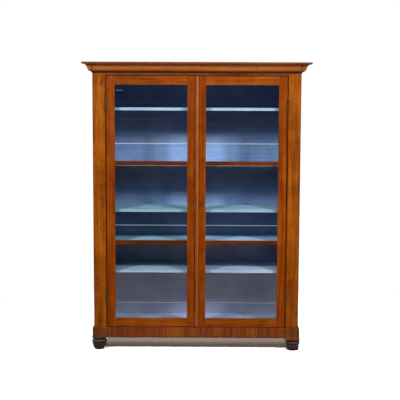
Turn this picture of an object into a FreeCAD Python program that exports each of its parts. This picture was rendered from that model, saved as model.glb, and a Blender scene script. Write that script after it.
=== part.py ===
import FreeCAD, Part
import math
import os
import re
import Sketcher
from FreeCAD import Placement, Rotation, Vector

# A free-standing bookcase with two glazed doors. The frame's origin is on the floor below the middle of
# the overall box, +Z is up and the doors face -Y. Lengths are millimetres.

doc = FreeCAD.newDocument("bookcase")

# Driving dimensions. Every other size is a formula of these.
sizeTable = {
    # carcase
    "total_height": 1953,
    "body_width": 1390,
    "body_depth": 390,
    "foot_height": 88,
    "post_width": 87,
    "post_depth": 40,
    "block_height": 78,
    "block_projection": 10,
    "block_depth": 97,
    "top_rail_show": 16.3,
    "bottom_rail_height": 75,
    "top_board_thickness": 18,
    "bottom_board_thickness": 20,
    "bottom_board_rise": 9,
    "side_thickness": 28,
    "side_bottom_rail_height": 142,
    "side_top_rail_height": 90,
    "rear_post_depth": 70,
    "back_rebate_width": 16,
    "back_recess": 8,
    "back_thickness": 12,
    "back_board_joint": 2.9,
    "lower_back_joint": 252.8,
    "middle_back_joint": 814.4,
    "upper_back_joint": 1397,
    "back_split_x": 572,
    "back_split_drop": 156.2,
    "back_split_length": 50,
    "back_split_width": 0.6,
    "panel_thickness": 12,
    "panel_recess": 9,
    "groove_depth": 8,
    "panel_play": 1,
    "tenon_length": 30,
    "tenon_thickness": 10,
    "tenon_shoulder": 12,
    "tenon_wall": 4,
    # cornice
    "cornice_height": 70.5,
    "cornice_projection": 65,
    "cornice_lip": 10,
    "cornice_fillet": 12,
    "cornice_fillet_overhang": 7,
    "cornice_foot": 4,
    "cornice_foot_height": 6.5,
    "cyma_radius": 31,
    # shelves on sawtooth racks
    "shelf_thickness": 18,
    "shelf_setback": 45,
    "shelf_play": 1,
    "rack_width": 30,
    "rack_thickness": 12,
    "rack_setback": 5,
    "rear_rack_setback": 12.5,
    "tooth_pitch": 24.5,
    "tooth_depth": 12,
    "tooth_height": 22,
    "rack_plain_top": 170,
    "first_tooth_rise": 118.75,
    "bearer_height": 20,
    "bearer_play": 0.3,
    "teeth_over_shelf_one": 6,
    "teeth_over_shelf_two": 22,
    "tooth_of_shelf_three": 26,
    "tooth_of_shelf_four": 17,
    "tooth_of_shelf_five": 9,
    # turned feet, of which the right one is shorter and fuller
    "foot_outset": 7,
    "foot_ring_diameter": 97,
    "foot_ring_height": 21,
    "foot_neck_diameter": 82,
    "foot_neck_height": 4,
    "foot_bun_diameter": 96,
    "foot_bun_shoulder": 12,
    "foot_base_diameter": 54,
    "foot_spigot_diameter": 30,
    "foot_spigot_length": 34,
    "right_foot_drop": 14,
    "right_foot_ring_height": 10,
    "right_foot_base_diameter": 76,
    # doors
    "door_thickness": 24,
    "door_side_gap": 1.6,
    "door_end_gap": 1.6,
    "door_meeting_gap": 0.9,
    "meeting_line_offset": 11.3,
    "door_stop_gap": 0.5,
    "door_stop_lap": 8,
    "hinge_stile_width": 58.4,
    "middle_sight": 62,
    "door_top_rail_height": 60.3,
    "door_bottom_rail_height": 56.3,
    "glazing_bar_height": 28,
    "door_tenon_length": 40,
    "door_tenon_thickness": 8,
    "door_tenon_shoulder": 12,
    "glass_thickness": 3,
    "glass_play": 1,
    "rebate_width": 8,
    "rebate_depth": 12,
    "bead_width": 7.5,
    "astragal_width": 25.4,
    "astragal_thickness": 9,
    "astragal_quirk": 2.5,
    "bar_tenon_length": 12,
    "bar_tenon_shoulder": 1,
    "strike_play": 1,
    # hinges
    "upper_hinge_drop": 238,
    "lower_hinge_rise": 160.4,
    "knuckle_length": 34,
    "knuckle_diameter": 13,
    "knuckle_play": 0.4,
    "pin_offset": 3,
    "pin_diameter": 6,
    "pin_clearance": 0.1,
    "pin_reach": 28,
    "leaf_thickness": 2,
    "leaf_depth": 20,
    "leaf_clearance": 0.5,
    "finial_length": 30,
    "finial_groove": 1.5,
    "finial_ring_height": 6,
    "finial_neck_radius": 3.2,
    "finial_bud_radius": 5,
    "finial_tip_radius": 1.2,
    "pin_seat": 5,
    # lock, at the middle of the door's height
    "lock_backset": 44,
    "lock_case_length": 80,
    "lock_case_width": 60,
    "lock_case_thickness": 13,
    "lock_wall": 1.5,
    "lock_bolt_height": 22,
    "lock_bolt_thickness": 7,
    "lock_bolt_length": 44,
    "lock_bolt_setback": 0.5,
    "lock_travel": 9,
    "slide_clearance": 0.3,
    "keyhole_diameter": 7,
    "keyhole_slot_width": 3.5,
    "keyhole_slot_length": 12,
    "escutcheon_width": 22,
    "escutcheon_height": 41,
    "escutcheon_thickness": 1.5,
    # slide bolts of the left door
    "bolt_diameter": 7,
    "bolt_length": 150,
    "bolt_standoff": 6,
    "bolt_travel": 12,
    "bolt_setback": 1.5,
    "bolt_inset": 18,
    "bolt_knob_diameter": 8,
    "bolt_knob_length": 9,
    "guide_width": 24,
    "guide_length": 110,
    "guide_plate_thickness": 1.5,
    "staple_length": 12,
    "staple_width": 13,
    "staple_height": 11,
}

# Places and sizes that follow from the table, as named formulas.
formulas = {
    "half_width": "(body_width / 2)",
    "overall_depth": "(body_depth + cornice_projection)",
    "front_y": "(cornice_projection - overall_depth / 2)",
    "back_y": "(overall_depth / 2)",
    "block_top": "(foot_height + block_height)",
    "block_width": "(post_width + block_projection)",
    "block_x": "(-half_width - block_projection)",
    "block_y": "(front_y - block_projection)",
    "block_back_y": "(block_y + block_depth)",
    "post_tenon_y": "(front_tenon_y + tenon_thickness + tenon_wall)",
    "post_tenon_depth": "(post_back_y - tenon_wall - post_tenon_y)",
    "foot_x": "(block_x + block_width / 2 - foot_outset)",
    "foot_y": "(block_y + block_depth / 2)",
    "right_foot_height": "(foot_height - right_foot_drop)",
    "carcase_top": "(total_height - cornice_lip)",
    "post_top": "(carcase_top - top_board_thickness)",
    "post_back_y": "(front_y + post_depth)",
    "opening_half": "(half_width - post_width)",
    "inner_half": "(half_width - side_thickness)",
    "rear_post_y": "(back_y - rear_post_depth)",
    "back_outer_y": "(back_y - back_recess)",
    "back_inner_y": "(back_outer_y - back_thickness)",
    "bottom_rail_top": "(foot_height + bottom_rail_height)",
    "bottom_board_top": "(bottom_rail_top + bottom_board_rise)",
    "bottom_board_base": "(bottom_board_top - bottom_board_thickness)",
    "stop_y": "(front_y + door_thickness + door_stop_gap)",
    "side_rail_top": "(foot_height + side_bottom_rail_height)",
    "side_top_rail_base": "(post_top - side_top_rail_height)",
    "panel_x": "(panel_recess - half_width)",
    "cornice_base": "(total_height - cornice_height)",
    "top_rail_base": "(cornice_base - top_rail_show)",
    "stop_base": "(top_rail_base - door_stop_lap)",
    "door_base": "(bottom_rail_top + door_end_gap)",
    "door_top": "(top_rail_base - door_end_gap)",
    "door_height": "(door_top - door_base)",
    "door_x": "(door_side_gap - opening_half)",
    "door_back_y": "(front_y + door_thickness)",
    "glass_x": "(door_x + hinge_stile_width)",
    "glass_width": "(-middle_sight - glass_x)",
    "glass_base": "(door_base + door_bottom_rail_height)",
    "glass_top": "(door_top - door_top_rail_height)",
    "pane_height": "((glass_top - glass_base - 2 * glazing_bar_height) / 3)",
    "lower_bar_height": "(glass_base + pane_height + glazing_bar_height / 2)",
    "upper_bar_height": "(glass_top - pane_height - glazing_bar_height / 2)",
    "rebate_y": "(door_back_y - rebate_depth)",
    "tenon_y": "(front_y + (door_thickness - door_tenon_thickness) / 2)",
    "hinge_x": "(door_x - door_side_gap / 2)",
    "hinge_y": "(front_y - pin_offset)",
    "hinge_top_base": "(door_top - upper_hinge_drop)",
    "hinge_bottom_base": "(door_base + lower_hinge_rise)",
    "knuckle_radius": "(knuckle_diameter / 2)",
    "hinge_length": "(2 * knuckle_length + knuckle_play)",
    "leaf_y": "(hinge_y + knuckle_radius + leaf_clearance)",
    "front_rack_y": "(front_y + shelf_setback + rack_setback)",
    "rear_rack_y": "(back_inner_y - rear_rack_setback - rack_width)",
    "first_tooth_z": "(bottom_board_top + first_tooth_rise)",
    "tooth_count": "(floor((post_top - rack_plain_top - first_tooth_z) / tooth_pitch) + 1)",
    "tooth_front_y": "(front_rack_y + rack_width - tooth_depth)",
    "tooth_rear_y": "(rear_rack_y + tooth_depth)",
    "shelf_half": "(inner_half - shelf_play)",
    "shelf_y": "(front_y + shelf_setback)",
    "shelf_back_y": "(back_inner_y - shelf_play)",
    "left_free_x": "(-meeting_line_offset - door_meeting_gap / 2)",
    "right_free_x": "(meeting_line_offset - door_meeting_gap / 2)",
    "bolt_x": "(left_free_x - bolt_inset)",
    "bolt_y": "(door_back_y + bolt_standoff)",
    "lock_height": "((door_base + door_top) / 2)",
    "lock_y": "(door_back_y - lock_case_thickness)",
    "lock_bolt_y": "(lock_y + (lock_case_thickness - lock_bolt_thickness) / 2)",
    "bar_tenon_half": "(glazing_bar_height / 2 - rebate_width - bar_tenon_shoulder)",
    "pane_lap": "(rebate_width - glass_play)",
    "side_tenon_x": "(panel_x + (panel_thickness - tenon_thickness) / 2)",
    "front_tenon_y": "(front_y + (stop_y - front_y - tenon_thickness) / 2)",
}

sheet = doc.addObject("Spreadsheet::Sheet", "Sizes")
for row, (alias, number) in enumerate(sizeTable.items(), start=1):
    sheet.set(f"A{row}", alias)
    sheet.set(f"B{row}", str(number))
    sheet.setAlias(f"B{row}", alias)
doc.recompute()


def formula(text):
    """Writes a formula out in full, with each name pointing at its cell in the sheet."""
    def spell(match):
        word = match.group()
        if word in formulas:
            return formula(formulas[word])
        return f"Sizes.{word}" if word in sizeTable else word
    return re.sub(r"[a-z][a-z0-9_]*", spell, str(text))


def value(text):
    return float(sheet.evalExpression(formula(text)))


def bind(target, field, text):
    target.setExpression(field, formula(text))


# Each origin plane's two drawing axes, then the axis that it faces along. XZ_Plane faces along -Y.
planes = {
    "XY_Plane": "xyz",
    "XZ_Plane": "xzy",
    "YZ_Plane": "yzx",
}


class Piece:
    """One sub-part: a body set down at its own corner. Its features are given by their places in the
    whole object's frame and are stored relative to that corner."""

    def __init__(self, label, corner):
        self.corner = corner
        self.body = doc.addObject("PartDesign::Body", label)
        self.body.Label = label
        for axis, place in zip("xyz", corner):
            bind(self.body, f"Placement.Base.{axis}", place)

    def place(self, feature, corner):
        for axis, place, start in zip("xyz", corner, self.corner):
            bind(feature, f"Placement.Base.{axis}", f"({place}) - ({start})")

    def box(self, kind, corner, size):
        feature = self.body.newObject(f"PartDesign::{kind}Box", f"{kind.lower()}_box")
        for field, length in zip(("Length", "Width", "Height"), size):
            bind(feature, field, length)
        self.place(feature, corner)
        return self

    def add(self, corner, size):
        return self.box("Additive", corner, size)

    def cut(self, corner, size):
        return self.box("Subtractive", corner, size)

    def round(self, kind, centre, radius, length, turn=None):
        feature = self.body.newObject(f"PartDesign::{kind}Cylinder", f"{kind.lower()}_cylinder")
        if turn:
            feature.Placement = Placement(Vector(), turn)
        bind(feature, "Radius", radius)
        bind(feature, "Height", length)
        self.place(feature, centre)
        return self

    def addRod(self, centre, radius, length, turn=None):
        return self.round("Additive", centre, radius, length, turn)

    def bore(self, centre, radius, length, turn=None):
        return self.round("Subtractive", centre, radius, length, turn)

    def outline(self, plane, depth, corners):
        """A closed outline on an origin plane moved to depth. Each corner is (x, y), or (x, y, radius)
        where an arc leads on to the next corner. The arc turns left, or right with a minus radius."""
        first, second, normal = ("xyz".index(axis) for axis in planes[plane])
        sign = "-" if plane == "XZ_Plane" else ""
        sketch = self.body.newObject("Sketcher::SketchObject", "outline")
        support = next(item for item in self.body.Origin.OriginFeatures if item.Role == plane)
        sketch.AttachmentSupport = [(support, "")]
        sketch.MapMode = "FlatFace"
        bind(sketch, "AttachmentOffset.Base.z", f"{sign}(({depth}) - ({self.corner[normal]}))")
        spots = [(f"({corner[0]}) - ({self.corner[first]})", f"({corner[1]}) - ({self.corner[second]})")
                 for corner in corners]
        points = [Vector(value(x), value(y), 0) for x, y in spots]
        starts = []
        for index, corner in enumerate(corners):
            start, end = points[index], points[(index + 1) % len(points)]
            if len(corner) == 2:
                sketch.addGeometry(Part.LineSegment(start, end))
            else:
                sketch.addGeometry(arcBetween(start, end, value(corner[2])))
            forward = sketch.getPoint(index, 1).distanceToPoint(start) < 1e-6
            starts.append(1 if forward else 2)
        for index, corner in enumerate(corners):
            following = (index + 1) % len(corners)
            sketch.addConstraint(Sketcher.Constraint("Coincident", index, 3 - starts[index],
                                                     following, starts[following]))
            for kind, spot, size in zip(("DistanceX", "DistanceY"), spots[index], points[index]):
                number = sketch.addConstraint(Sketcher.Constraint(kind, -1, 1, index, starts[index], size))
                bind(sketch, f"Constraints[{number}]", spot)
            if len(corner) == 3:
                radius = corner[2].lstrip("-")
                number = sketch.addConstraint(Sketcher.Constraint("Radius", index, value(radius)))
                bind(sketch, f"Constraints[{number}]", radius)
        return sketch

    def pad(self, sketch, length, backwards=False):
        feature = self.body.newObject("PartDesign::Pad", "pad")
        feature.Profile = sketch
        feature.Reversed = backwards
        bind(feature, "Length", length)
        return self

    def pocket(self, sketch, length, backwards=False):
        feature = self.body.newObject("PartDesign::Pocket", "pocket")
        feature.Profile = sketch
        feature.Reversed = backwards
        bind(feature, "Length", length)
        return feature

    def turn(self, sketch):
        feature = self.body.newObject("PartDesign::Revolution", "turning")
        feature.Profile = sketch
        feature.ReferenceAxis = (sketch, ["V_Axis"])
        feature.Angle = 360
        return self


def arcBetween(start, end, radius):
    """The short arc of a radius between two points. It turns left, or right with a minus radius."""
    chord = end - start
    reach = math.sqrt(max(radius ** 2 - (chord.Length / 2) ** 2, 0))
    left = Vector(-chord.y, chord.x, 0).normalize()
    side = 1 if radius > 0 else -1
    centre = (start + end) / 2 + left * reach * side
    middle = centre - left * abs(radius) * side
    return Part.Arc(start, middle, end)


def mirrored(source, label, normal=Vector(1, 0, 0), middle=None):
    """The other-handed copy of a piece, across the middle plane or across the one at middle."""
    copy = doc.addObject("Part::Mirroring", label)
    copy.Label = label
    copy.Source = source
    copy.Normal = normal
    if middle:
        bind(copy, "Base.y", middle)
    return copy


def group(label, members):
    """Repeated pieces that share one node, each still a solid of its own."""
    gathered = doc.addObject("Part::Compound", label)
    gathered.Label = label
    gathered.Links = members
    return gathered


pieces = []


def keep(piece, bothSides=None):
    """Lists a finished piece, and with bothSides also its mirrored twin."""
    source = piece.body if isinstance(piece, Piece) else piece
    pieces.append(source)
    if bothSides:
        pieces.append(mirrored(source, bothSides))


# ---- carcase ----

def nameOn(side, name):
    """The label of a piece drawn on the left, which a right-hand one has until it is mirrored."""
    return f"{name}_left" if side == "left" else f"{name}_as_left"


def keepOn(side, piece, name):
    keep(piece if side == "left" else mirrored(piece.body, f"{name}_right"))


def makeFoot(side, height, ringHeight, baseDiameter):
    """A turned bun below a neck and a ring. Its flank and shoulder are quarter waves in short cones."""
    ringRise = f"({height} - {ringHeight})"
    neckBase = f"({ringRise} - foot_neck_height)"
    bunTop = f"({neckBase} - foot_bun_shoulder)"
    flank = [(f"({baseDiameter} + (foot_bun_diameter - {baseDiameter}) * sin({angle} deg)) / 2",
              f"{bunTop} * (1 - cos({angle} deg))") for angle in range(0, 91, 30)]
    shoulder = [(f"(foot_neck_diameter + (foot_bun_diameter - foot_neck_diameter) * cos({angle} deg)) / 2",
                 f"{bunTop} + foot_bun_shoulder * sin({angle} deg)") for angle in (45, 90)]
    shape = [("0", "0")] + flank + shoulder + [
        ("foot_neck_diameter / 2", ringRise),
        ("foot_ring_diameter / 2", ringRise),
        ("foot_ring_diameter / 2", f"{height} - {ringHeight} / 4"),
        ("(foot_ring_diameter + foot_neck_diameter) / 4", height),
        ("foot_spigot_diameter / 2", height),
        ("foot_spigot_diameter / 2", f"{height} + foot_spigot_length"),
        ("0", f"{height} + foot_spigot_length"),
    ]
    piece = Piece(nameOn(side, "front_foot"), ("foot_x", "foot_y", "0"))
    piece.turn(piece.outline("XZ_Plane", "foot_y", [(f"foot_x + {x}", z) for x, z in shape]))
    keepOn(side, piece, "front_foot")


def makePlinthBlock(side, base):
    height = f"block_top - {base}"
    piece = Piece(nameOn(side, "plinth_block"), ("block_x", "block_y", base))
    piece.add(("block_x", "block_y", base), ("block_width", "block_depth", height))
    shoulder = piece.body.newObject("PartDesign::Chamfer", "shoulder")
    doc.recompute()
    blank = piece.body.Group[-2]
    top = value(height)
    edges = []
    for number, edge in enumerate(blank.Shape.Edges, start=1):
        box = edge.BoundBox
        onTop = abs(box.ZMin - top) < 1e-6 and abs(box.ZMax - top) < 1e-6
        if onTop and (box.XMax < 1e-6 or box.YMax < 1e-6):
            edges.append(f"Edge{number}")
    shoulder.Base = (blank, edges)
    bind(shoulder, "Size", "block_projection")
    piece.bore(("foot_x", "foot_y", base), "foot_spigot_diameter / 2", "foot_spigot_length")
    piece.cut(("-half_width + tenon_shoulder", "post_tenon_y", "block_top - tenon_length"),
              ("post_width - 2 * tenon_shoulder", "post_tenon_depth", "tenon_length"))
    piece.cut(("-opening_half - tenon_length", "front_tenon_y", "foot_height + tenon_shoulder"),
              ("tenon_length", "tenon_thickness", "bottom_rail_height - 2 * tenon_shoulder"))
    keepOn(side, piece, "plinth_block")


def makeFrontPost():
    piece = Piece("front_post_left", ("-half_width", "front_y", "block_top"))
    piece.add(("-half_width", "front_y", "block_top"), ("post_width", "post_depth", "post_top - block_top"))
    piece.add(("-half_width + tenon_shoulder", "post_tenon_y", "block_top - tenon_length"),
              ("post_width - 2 * tenon_shoulder", "post_tenon_depth", "tenon_length"))
    piece.cut(("panel_x", "post_back_y - groove_depth", "side_rail_top - groove_depth"),
              ("panel_thickness", "groove_depth", "side_top_rail_base - side_rail_top + 2 * groove_depth"))
    piece.cut(("side_tenon_x", "post_back_y - tenon_length", "block_top + tenon_shoulder"),
              ("tenon_thickness", "tenon_length", "side_rail_top - block_top - 2 * tenon_shoulder"))
    piece.cut(("side_tenon_x", "post_back_y - tenon_length", "side_top_rail_base + tenon_shoulder"),
              ("tenon_thickness", "tenon_length", "side_top_rail_height - 2 * tenon_shoulder"))
    piece.cut(("-opening_half - tenon_length", "front_tenon_y", "top_rail_base + tenon_shoulder"),
              ("tenon_length", "tenon_thickness", "post_top - top_rail_base - 2 * tenon_shoulder"))
    for base in ("hinge_bottom_base", "hinge_top_base"):
        cutHingeSeat(piece, base, "-opening_half - leaf_thickness")
    keep(piece, "front_post_right")


def cutHingeSeat(piece, base, leafX):
    """The recess for a hinge leaf and the hollow beside its knuckles."""
    piece.cut((leafX, "front_y", base), ("leaf_thickness", "leaf_depth", "hinge_length"))
    piece.bore(("hinge_x", "hinge_y", f"{base} - knuckle_play"), "knuckle_radius + leaf_clearance",
               "hinge_length + finial_length + 2 * knuckle_play")


def makeRearPost():
    piece = Piece("rear_post_left", ("-half_width", "rear_post_y", "0"))
    piece.add(("-half_width", "rear_post_y", "0"), ("side_thickness", "rear_post_depth", "post_top"))
    piece.cut(("-inner_half - back_rebate_width", "back_inner_y", "foot_height"),
              ("back_rebate_width", "back_y - back_inner_y", "post_top - foot_height"))
    piece.cut(("panel_x", "rear_post_y", "side_rail_top - groove_depth"),
              ("panel_thickness", "groove_depth", "side_top_rail_base - side_rail_top + 2 * groove_depth"))
    piece.cut(("side_tenon_x", "rear_post_y", "foot_height + tenon_shoulder"),
              ("tenon_thickness", "tenon_length", "side_bottom_rail_height - 2 * tenon_shoulder"))
    piece.cut(("side_tenon_x", "rear_post_y", "side_top_rail_base + tenon_shoulder"),
              ("tenon_thickness", "tenon_length", "side_top_rail_height - 2 * tenon_shoulder"))
    keep(piece, "rear_post_right")


def makeSideBottomRail():
    length = "rear_post_y - post_back_y"
    piece = Piece("side_bottom_rail_left", ("-half_width", "post_back_y", "foot_height"))
    piece.add(("-half_width", "post_back_y", "foot_height"),
              ("side_thickness", length, "side_bottom_rail_height"))
    piece.cut(("-half_width", "post_back_y", "foot_height"),
              ("side_thickness", "block_back_y - post_back_y", "block_height"))
    piece.cut(("panel_x", "post_back_y", "side_rail_top - groove_depth"),
              ("panel_thickness", length, "groove_depth"))
    piece.cut(("-inner_half - groove_depth", "block_back_y", "bottom_board_base"),
              ("groove_depth", "rear_post_y - block_back_y", "bottom_board_thickness"))
    piece.add(("side_tenon_x", "post_back_y - tenon_length", "block_top + tenon_shoulder"),
              ("tenon_thickness", "tenon_length", "side_rail_top - block_top - 2 * tenon_shoulder"))
    piece.add(("side_tenon_x", "rear_post_y", "foot_height + tenon_shoulder"),
              ("tenon_thickness", "tenon_length", "side_bottom_rail_height - 2 * tenon_shoulder"))
    keep(piece, "side_bottom_rail_right")


def makeSideTopRail():
    length = "rear_post_y - post_back_y"
    piece = Piece("side_top_rail_left", ("-half_width", "post_back_y", "side_top_rail_base"))
    piece.add(("-half_width", "post_back_y", "side_top_rail_base"),
              ("side_thickness", length, "side_top_rail_height"))
    piece.cut(("panel_x", "post_back_y", "side_top_rail_base"), ("panel_thickness", length, "groove_depth"))
    for start in ("post_back_y - tenon_length", "rear_post_y"):
        piece.add(("side_tenon_x", start, "side_top_rail_base + tenon_shoulder"),
                  ("tenon_thickness", "tenon_length", "side_top_rail_height - 2 * tenon_shoulder"))
    keep(piece, "side_top_rail_right")


def makeSidePanel():
    corner = ("panel_x", "post_back_y - groove_depth + panel_play", "side_rail_top - groove_depth")
    piece = Piece("side_panel_left", corner)
    piece.add(corner, ("panel_thickness", "rear_post_y - post_back_y + 2 * groove_depth - 2 * panel_play",
                       "side_top_rail_base - side_rail_top + 2 * groove_depth - panel_play"))
    keep(piece, "side_panel_right")


def makeFrontTopRail():
    piece = Piece("front_top_rail", ("-opening_half", "front_y", "stop_base"))
    section = piece.outline("YZ_Plane", "-opening_half", [
        ("front_y", "top_rail_base"),
        ("stop_y", "top_rail_base"),
        ("stop_y", "stop_base"),
        ("post_back_y", "stop_base"),
        ("post_back_y", "post_top"),
        ("front_y", "post_top"),
    ])
    piece.pad(section, "2 * opening_half")
    for start in ("-opening_half - tenon_length", "opening_half"):
        piece.add((start, "front_tenon_y", "top_rail_base + tenon_shoulder"),
                  ("tenon_length", "tenon_thickness", "post_top - top_rail_base - 2 * tenon_shoulder"))
    piece.bore(("bolt_x", "bolt_y", "stop_base"), "bolt_diameter / 2 + slide_clearance",
               "bolt_travel + bolt_setback")
    keep(piece)


def makeFrontBottomRail():
    piece = Piece("front_bottom_rail", ("-opening_half", "front_y", "foot_height"))
    piece.add(("-opening_half", "front_y", "foot_height"),
              ("2 * opening_half", "stop_y - front_y", "bottom_rail_height"))
    for start in ("-opening_half - tenon_length", "opening_half"):
        piece.add((start, "front_tenon_y", "foot_height + tenon_shoulder"),
                  ("tenon_length", "tenon_thickness", "bottom_rail_height - 2 * tenon_shoulder"))
    keep(piece)


def makeBottomBoard():
    piece = Piece("bottom_board", ("-inner_half", "stop_y", "bottom_board_base"))
    piece.add(("-inner_half", "stop_y", "bottom_board_base"),
              ("2 * inner_half", "back_inner_y - stop_y", "bottom_board_thickness"))
    for start in ("-inner_half", "opening_half"):
        piece.cut((start, "stop_y", "bottom_board_base"),
                  ("inner_half - opening_half", "block_back_y - stop_y", "bottom_board_thickness"))
    for start in ("-inner_half - groove_depth", "inner_half"):
        piece.add((start, "block_back_y", "bottom_board_base"),
                  ("groove_depth", "rear_post_y - block_back_y", "bottom_board_thickness"))
    piece.bore(("bolt_x", "bolt_y", "bottom_board_base"), "bolt_diameter / 2 + slide_clearance",
               "bottom_board_thickness")
    keep(piece)


def makeTopBoard():
    piece = Piece("top_board", ("-half_width", "front_y", "post_top"))
    piece.add(("-half_width", "front_y", "post_top"), ("body_width", "body_depth", "top_board_thickness"))
    keep(piece)


def makeBackBoards():
    """Wide glued-up boards that lie across the rebates, with open joints and a shrinkage split."""
    boards = []
    across = "2 * (inner_half + back_rebate_width - panel_play)"
    joints = ["lower_back_joint", "middle_back_joint", "upper_back_joint"]
    joints = [joint for joint in joints if value("foot_height") < value(joint) < value("post_top")]
    tops = [f"{joint} - back_board_joint" for joint in joints] + ["post_top"]
    for base, top in zip(["foot_height"] + joints, tops):
        corner = ("-inner_half - back_rebate_width + panel_play", "back_inner_y", base)
        piece = Piece(f"back_board_{len(boards) + 1}", corner)
        piece.add(corner, (across, "back_thickness", f"{top} - ({base})"))
        boards.append(piece)
    boards[-1].cut(("-back_split_x", "back_inner_y", "post_top - back_split_drop"),
                   ("back_split_length", "back_thickness", "back_split_width"))
    keep(group("back_boards", [board.body for board in boards]))


# ---- cornice ----

def corniceProfile(wall):
    """Crown moulding section: a small foot, a cyma recta and a flat fillet, standing out from the wall."""
    cymaBase = "cornice_base + cornice_foot_height"
    cymaTop = "total_height - cornice_fillet"
    cymaReach = "(cornice_projection - cornice_fillet_overhang)"
    return [
        (f"{wall}", "cornice_base"),
        (f"{wall} - cornice_foot", "cornice_base"),
        (f"{wall} - cornice_foot", cymaBase, "-cyma_radius"),
        (f"{wall} - (cornice_foot + {cymaReach}) / 2", f"({cymaBase} + {cymaTop}) / 2", "cyma_radius"),
        (f"{wall} - {cymaReach}", cymaTop),
        (f"{wall} - cornice_projection", cymaTop),
        (f"{wall} - cornice_projection", "total_height"),
        (f"{wall}", "total_height"),
    ]


def makeCorniceFront():
    endX = "-half_width - cornice_projection"
    tipY = "front_y - cornice_projection"
    piece = Piece("cornice_front", (endX, tipY, "cornice_base"))
    section = piece.outline("YZ_Plane", endX, corniceProfile("front_y"))
    piece.pad(section, "body_width + 2 * cornice_projection")
    for side in ("-", ""):
        mitre = piece.outline("XY_Plane", "total_height", [
            (f"{side}(half_width + cornice_projection)", tipY),
            (f"{side}half_width", "front_y"),
            (f"{side}(half_width + cornice_projection)", "front_y"),
        ])
        piece.pocket(mitre, "cornice_height")
    keep(piece)


def makeCorniceSide():
    tipX = "-half_width - cornice_projection"
    tipY = "front_y - cornice_projection"
    piece = Piece("cornice_left", (tipX, tipY, "cornice_base"))
    piece.pad(piece.outline("XZ_Plane", tipY, corniceProfile("-half_width")), "overall_depth", backwards=True)
    mitre = piece.outline("XY_Plane", "total_height", [
        (tipX, tipY),
        ("-half_width", tipY),
        ("-half_width", "front_y"),
    ])
    piece.pocket(mitre, "cornice_height")
    keep(piece, "cornice_right")


# ---- shelves on sawtooth racks ----

def makeRacks():
    """Each rack is a batten with a sawtooth edge. A bearer lies in two facing teeth, level."""
    corner = ("-inner_half", "front_rack_y", "bottom_board_top")
    piece = Piece("rack_front_left", corner)
    piece.add(corner, ("rack_thickness", "rack_width", "post_top - bottom_board_top"))
    tooth = piece.outline("YZ_Plane", "-inner_half + rack_thickness", [
        ("tooth_front_y + tooth_depth", "first_tooth_z"),
        ("tooth_front_y + tooth_depth", "first_tooth_z + tooth_height"),
        ("tooth_front_y", "first_tooth_z"),
    ])
    notch = piece.pocket(tooth, "rack_thickness")
    row = piece.body.newObject("PartDesign::LinearPattern", "row_of_teeth")
    row.Originals = [notch]
    row.Direction = (tooth, ["V_Axis"])
    bind(row, "Length", "tooth_pitch * (tooth_count - 1)")
    bind(row, "Occurrences", "tooth_count")
    piece.body.Tip = row
    rear = mirrored(piece.body, "rack_rear_left", Vector(0, 1, 0),
                    "(front_rack_y + rear_rack_y + rack_width) / 2")
    left = [piece.body, rear]
    right = [mirrored(rack, rack.Label.replace("left", "right")) for rack in left]
    keep(group("tooth_racks", left + right))


toothOfShelf = {
    "shelf_one": "(tooth_count - teeth_over_shelf_one)",
    "shelf_two": "(tooth_count - teeth_over_shelf_two)",
    "shelf_three": "tooth_of_shelf_three",
    "shelf_four": "tooth_of_shelf_four",
    "shelf_five": "tooth_of_shelf_five",
}


def makeBearers():
    bearers = []
    slope = "tooth_depth * bearer_height / tooth_height"
    for name, tooth in toothOfShelf.items():
        ledge = f"first_tooth_z + {tooth} * tooth_pitch"
        piece = Piece(name.replace("shelf", "bearer"), ("-inner_half", "tooth_front_y", ledge))
        side = piece.outline("YZ_Plane", "-inner_half", [
            ("tooth_front_y + bearer_play", ledge),
            ("tooth_rear_y - bearer_play", ledge),
            (f"tooth_rear_y - bearer_play - {slope}", f"{ledge} + bearer_height"),
            (f"tooth_front_y + bearer_play + {slope}", f"{ledge} + bearer_height"),
        ])
        piece.pad(side, "rack_thickness")
        bearers.append(piece.body)
    twins = [mirrored(bearer, f"{bearer.Label}_right") for bearer in bearers]
    keep(group("shelf_bearers", bearers + twins))


def makeShelves():
    """Each shelf is notched at its corners to pass the racks, and lies on two bearers."""
    notchX = "rack_thickness"
    frontNotch = "rack_setback + rack_width + shelf_play"
    rearNotch = "shelf_back_y - rear_rack_y + shelf_play"
    for name, tooth in toothOfShelf.items():
        base = f"first_tooth_z + {tooth} * tooth_pitch + bearer_height"
        piece = Piece(name, ("-shelf_half", "shelf_y", base))
        piece.add(("-shelf_half", "shelf_y", base),
                  ("2 * shelf_half", "shelf_back_y - shelf_y", "shelf_thickness"))
        for start in ("-shelf_half", f"shelf_half - {notchX}"):
            piece.cut((start, "shelf_y", base), (notchX, frontNotch, "shelf_thickness"))
            piece.cut((start, f"shelf_back_y - ({rearNotch})", base), (notchX, rearNotch, "shelf_thickness"))
        keep(piece)


# ---- doors ----

class Door:
    """A door drawn as the left one. The right door's pieces are drawn so and then mirrored."""

    def __init__(self, side, freeX):
        self.side = side
        self.freeX = freeX

    def label(self, name):
        return f"left_{name}" if self.side == "left" else f"{name}_as_left"

    def start(self, name, corner):
        return Piece(self.label(name), corner)

    def keep(self, piece, name):
        source = piece.body if isinstance(piece, Piece) else piece
        keep(source if self.side == "left" else mirrored(source, f"right_{name}"))


paneSpans = {
    "top": ("upper_bar_height + glazing_bar_height / 2", "glass_top"),
    "middle": ("lower_bar_height + glazing_bar_height / 2", "upper_bar_height - glazing_bar_height / 2"),
    "bottom": ("glass_base", "lower_bar_height - glazing_bar_height / 2"),
}


barHeights = {"upper": "upper_bar_height", "lower": "lower_bar_height"}


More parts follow.
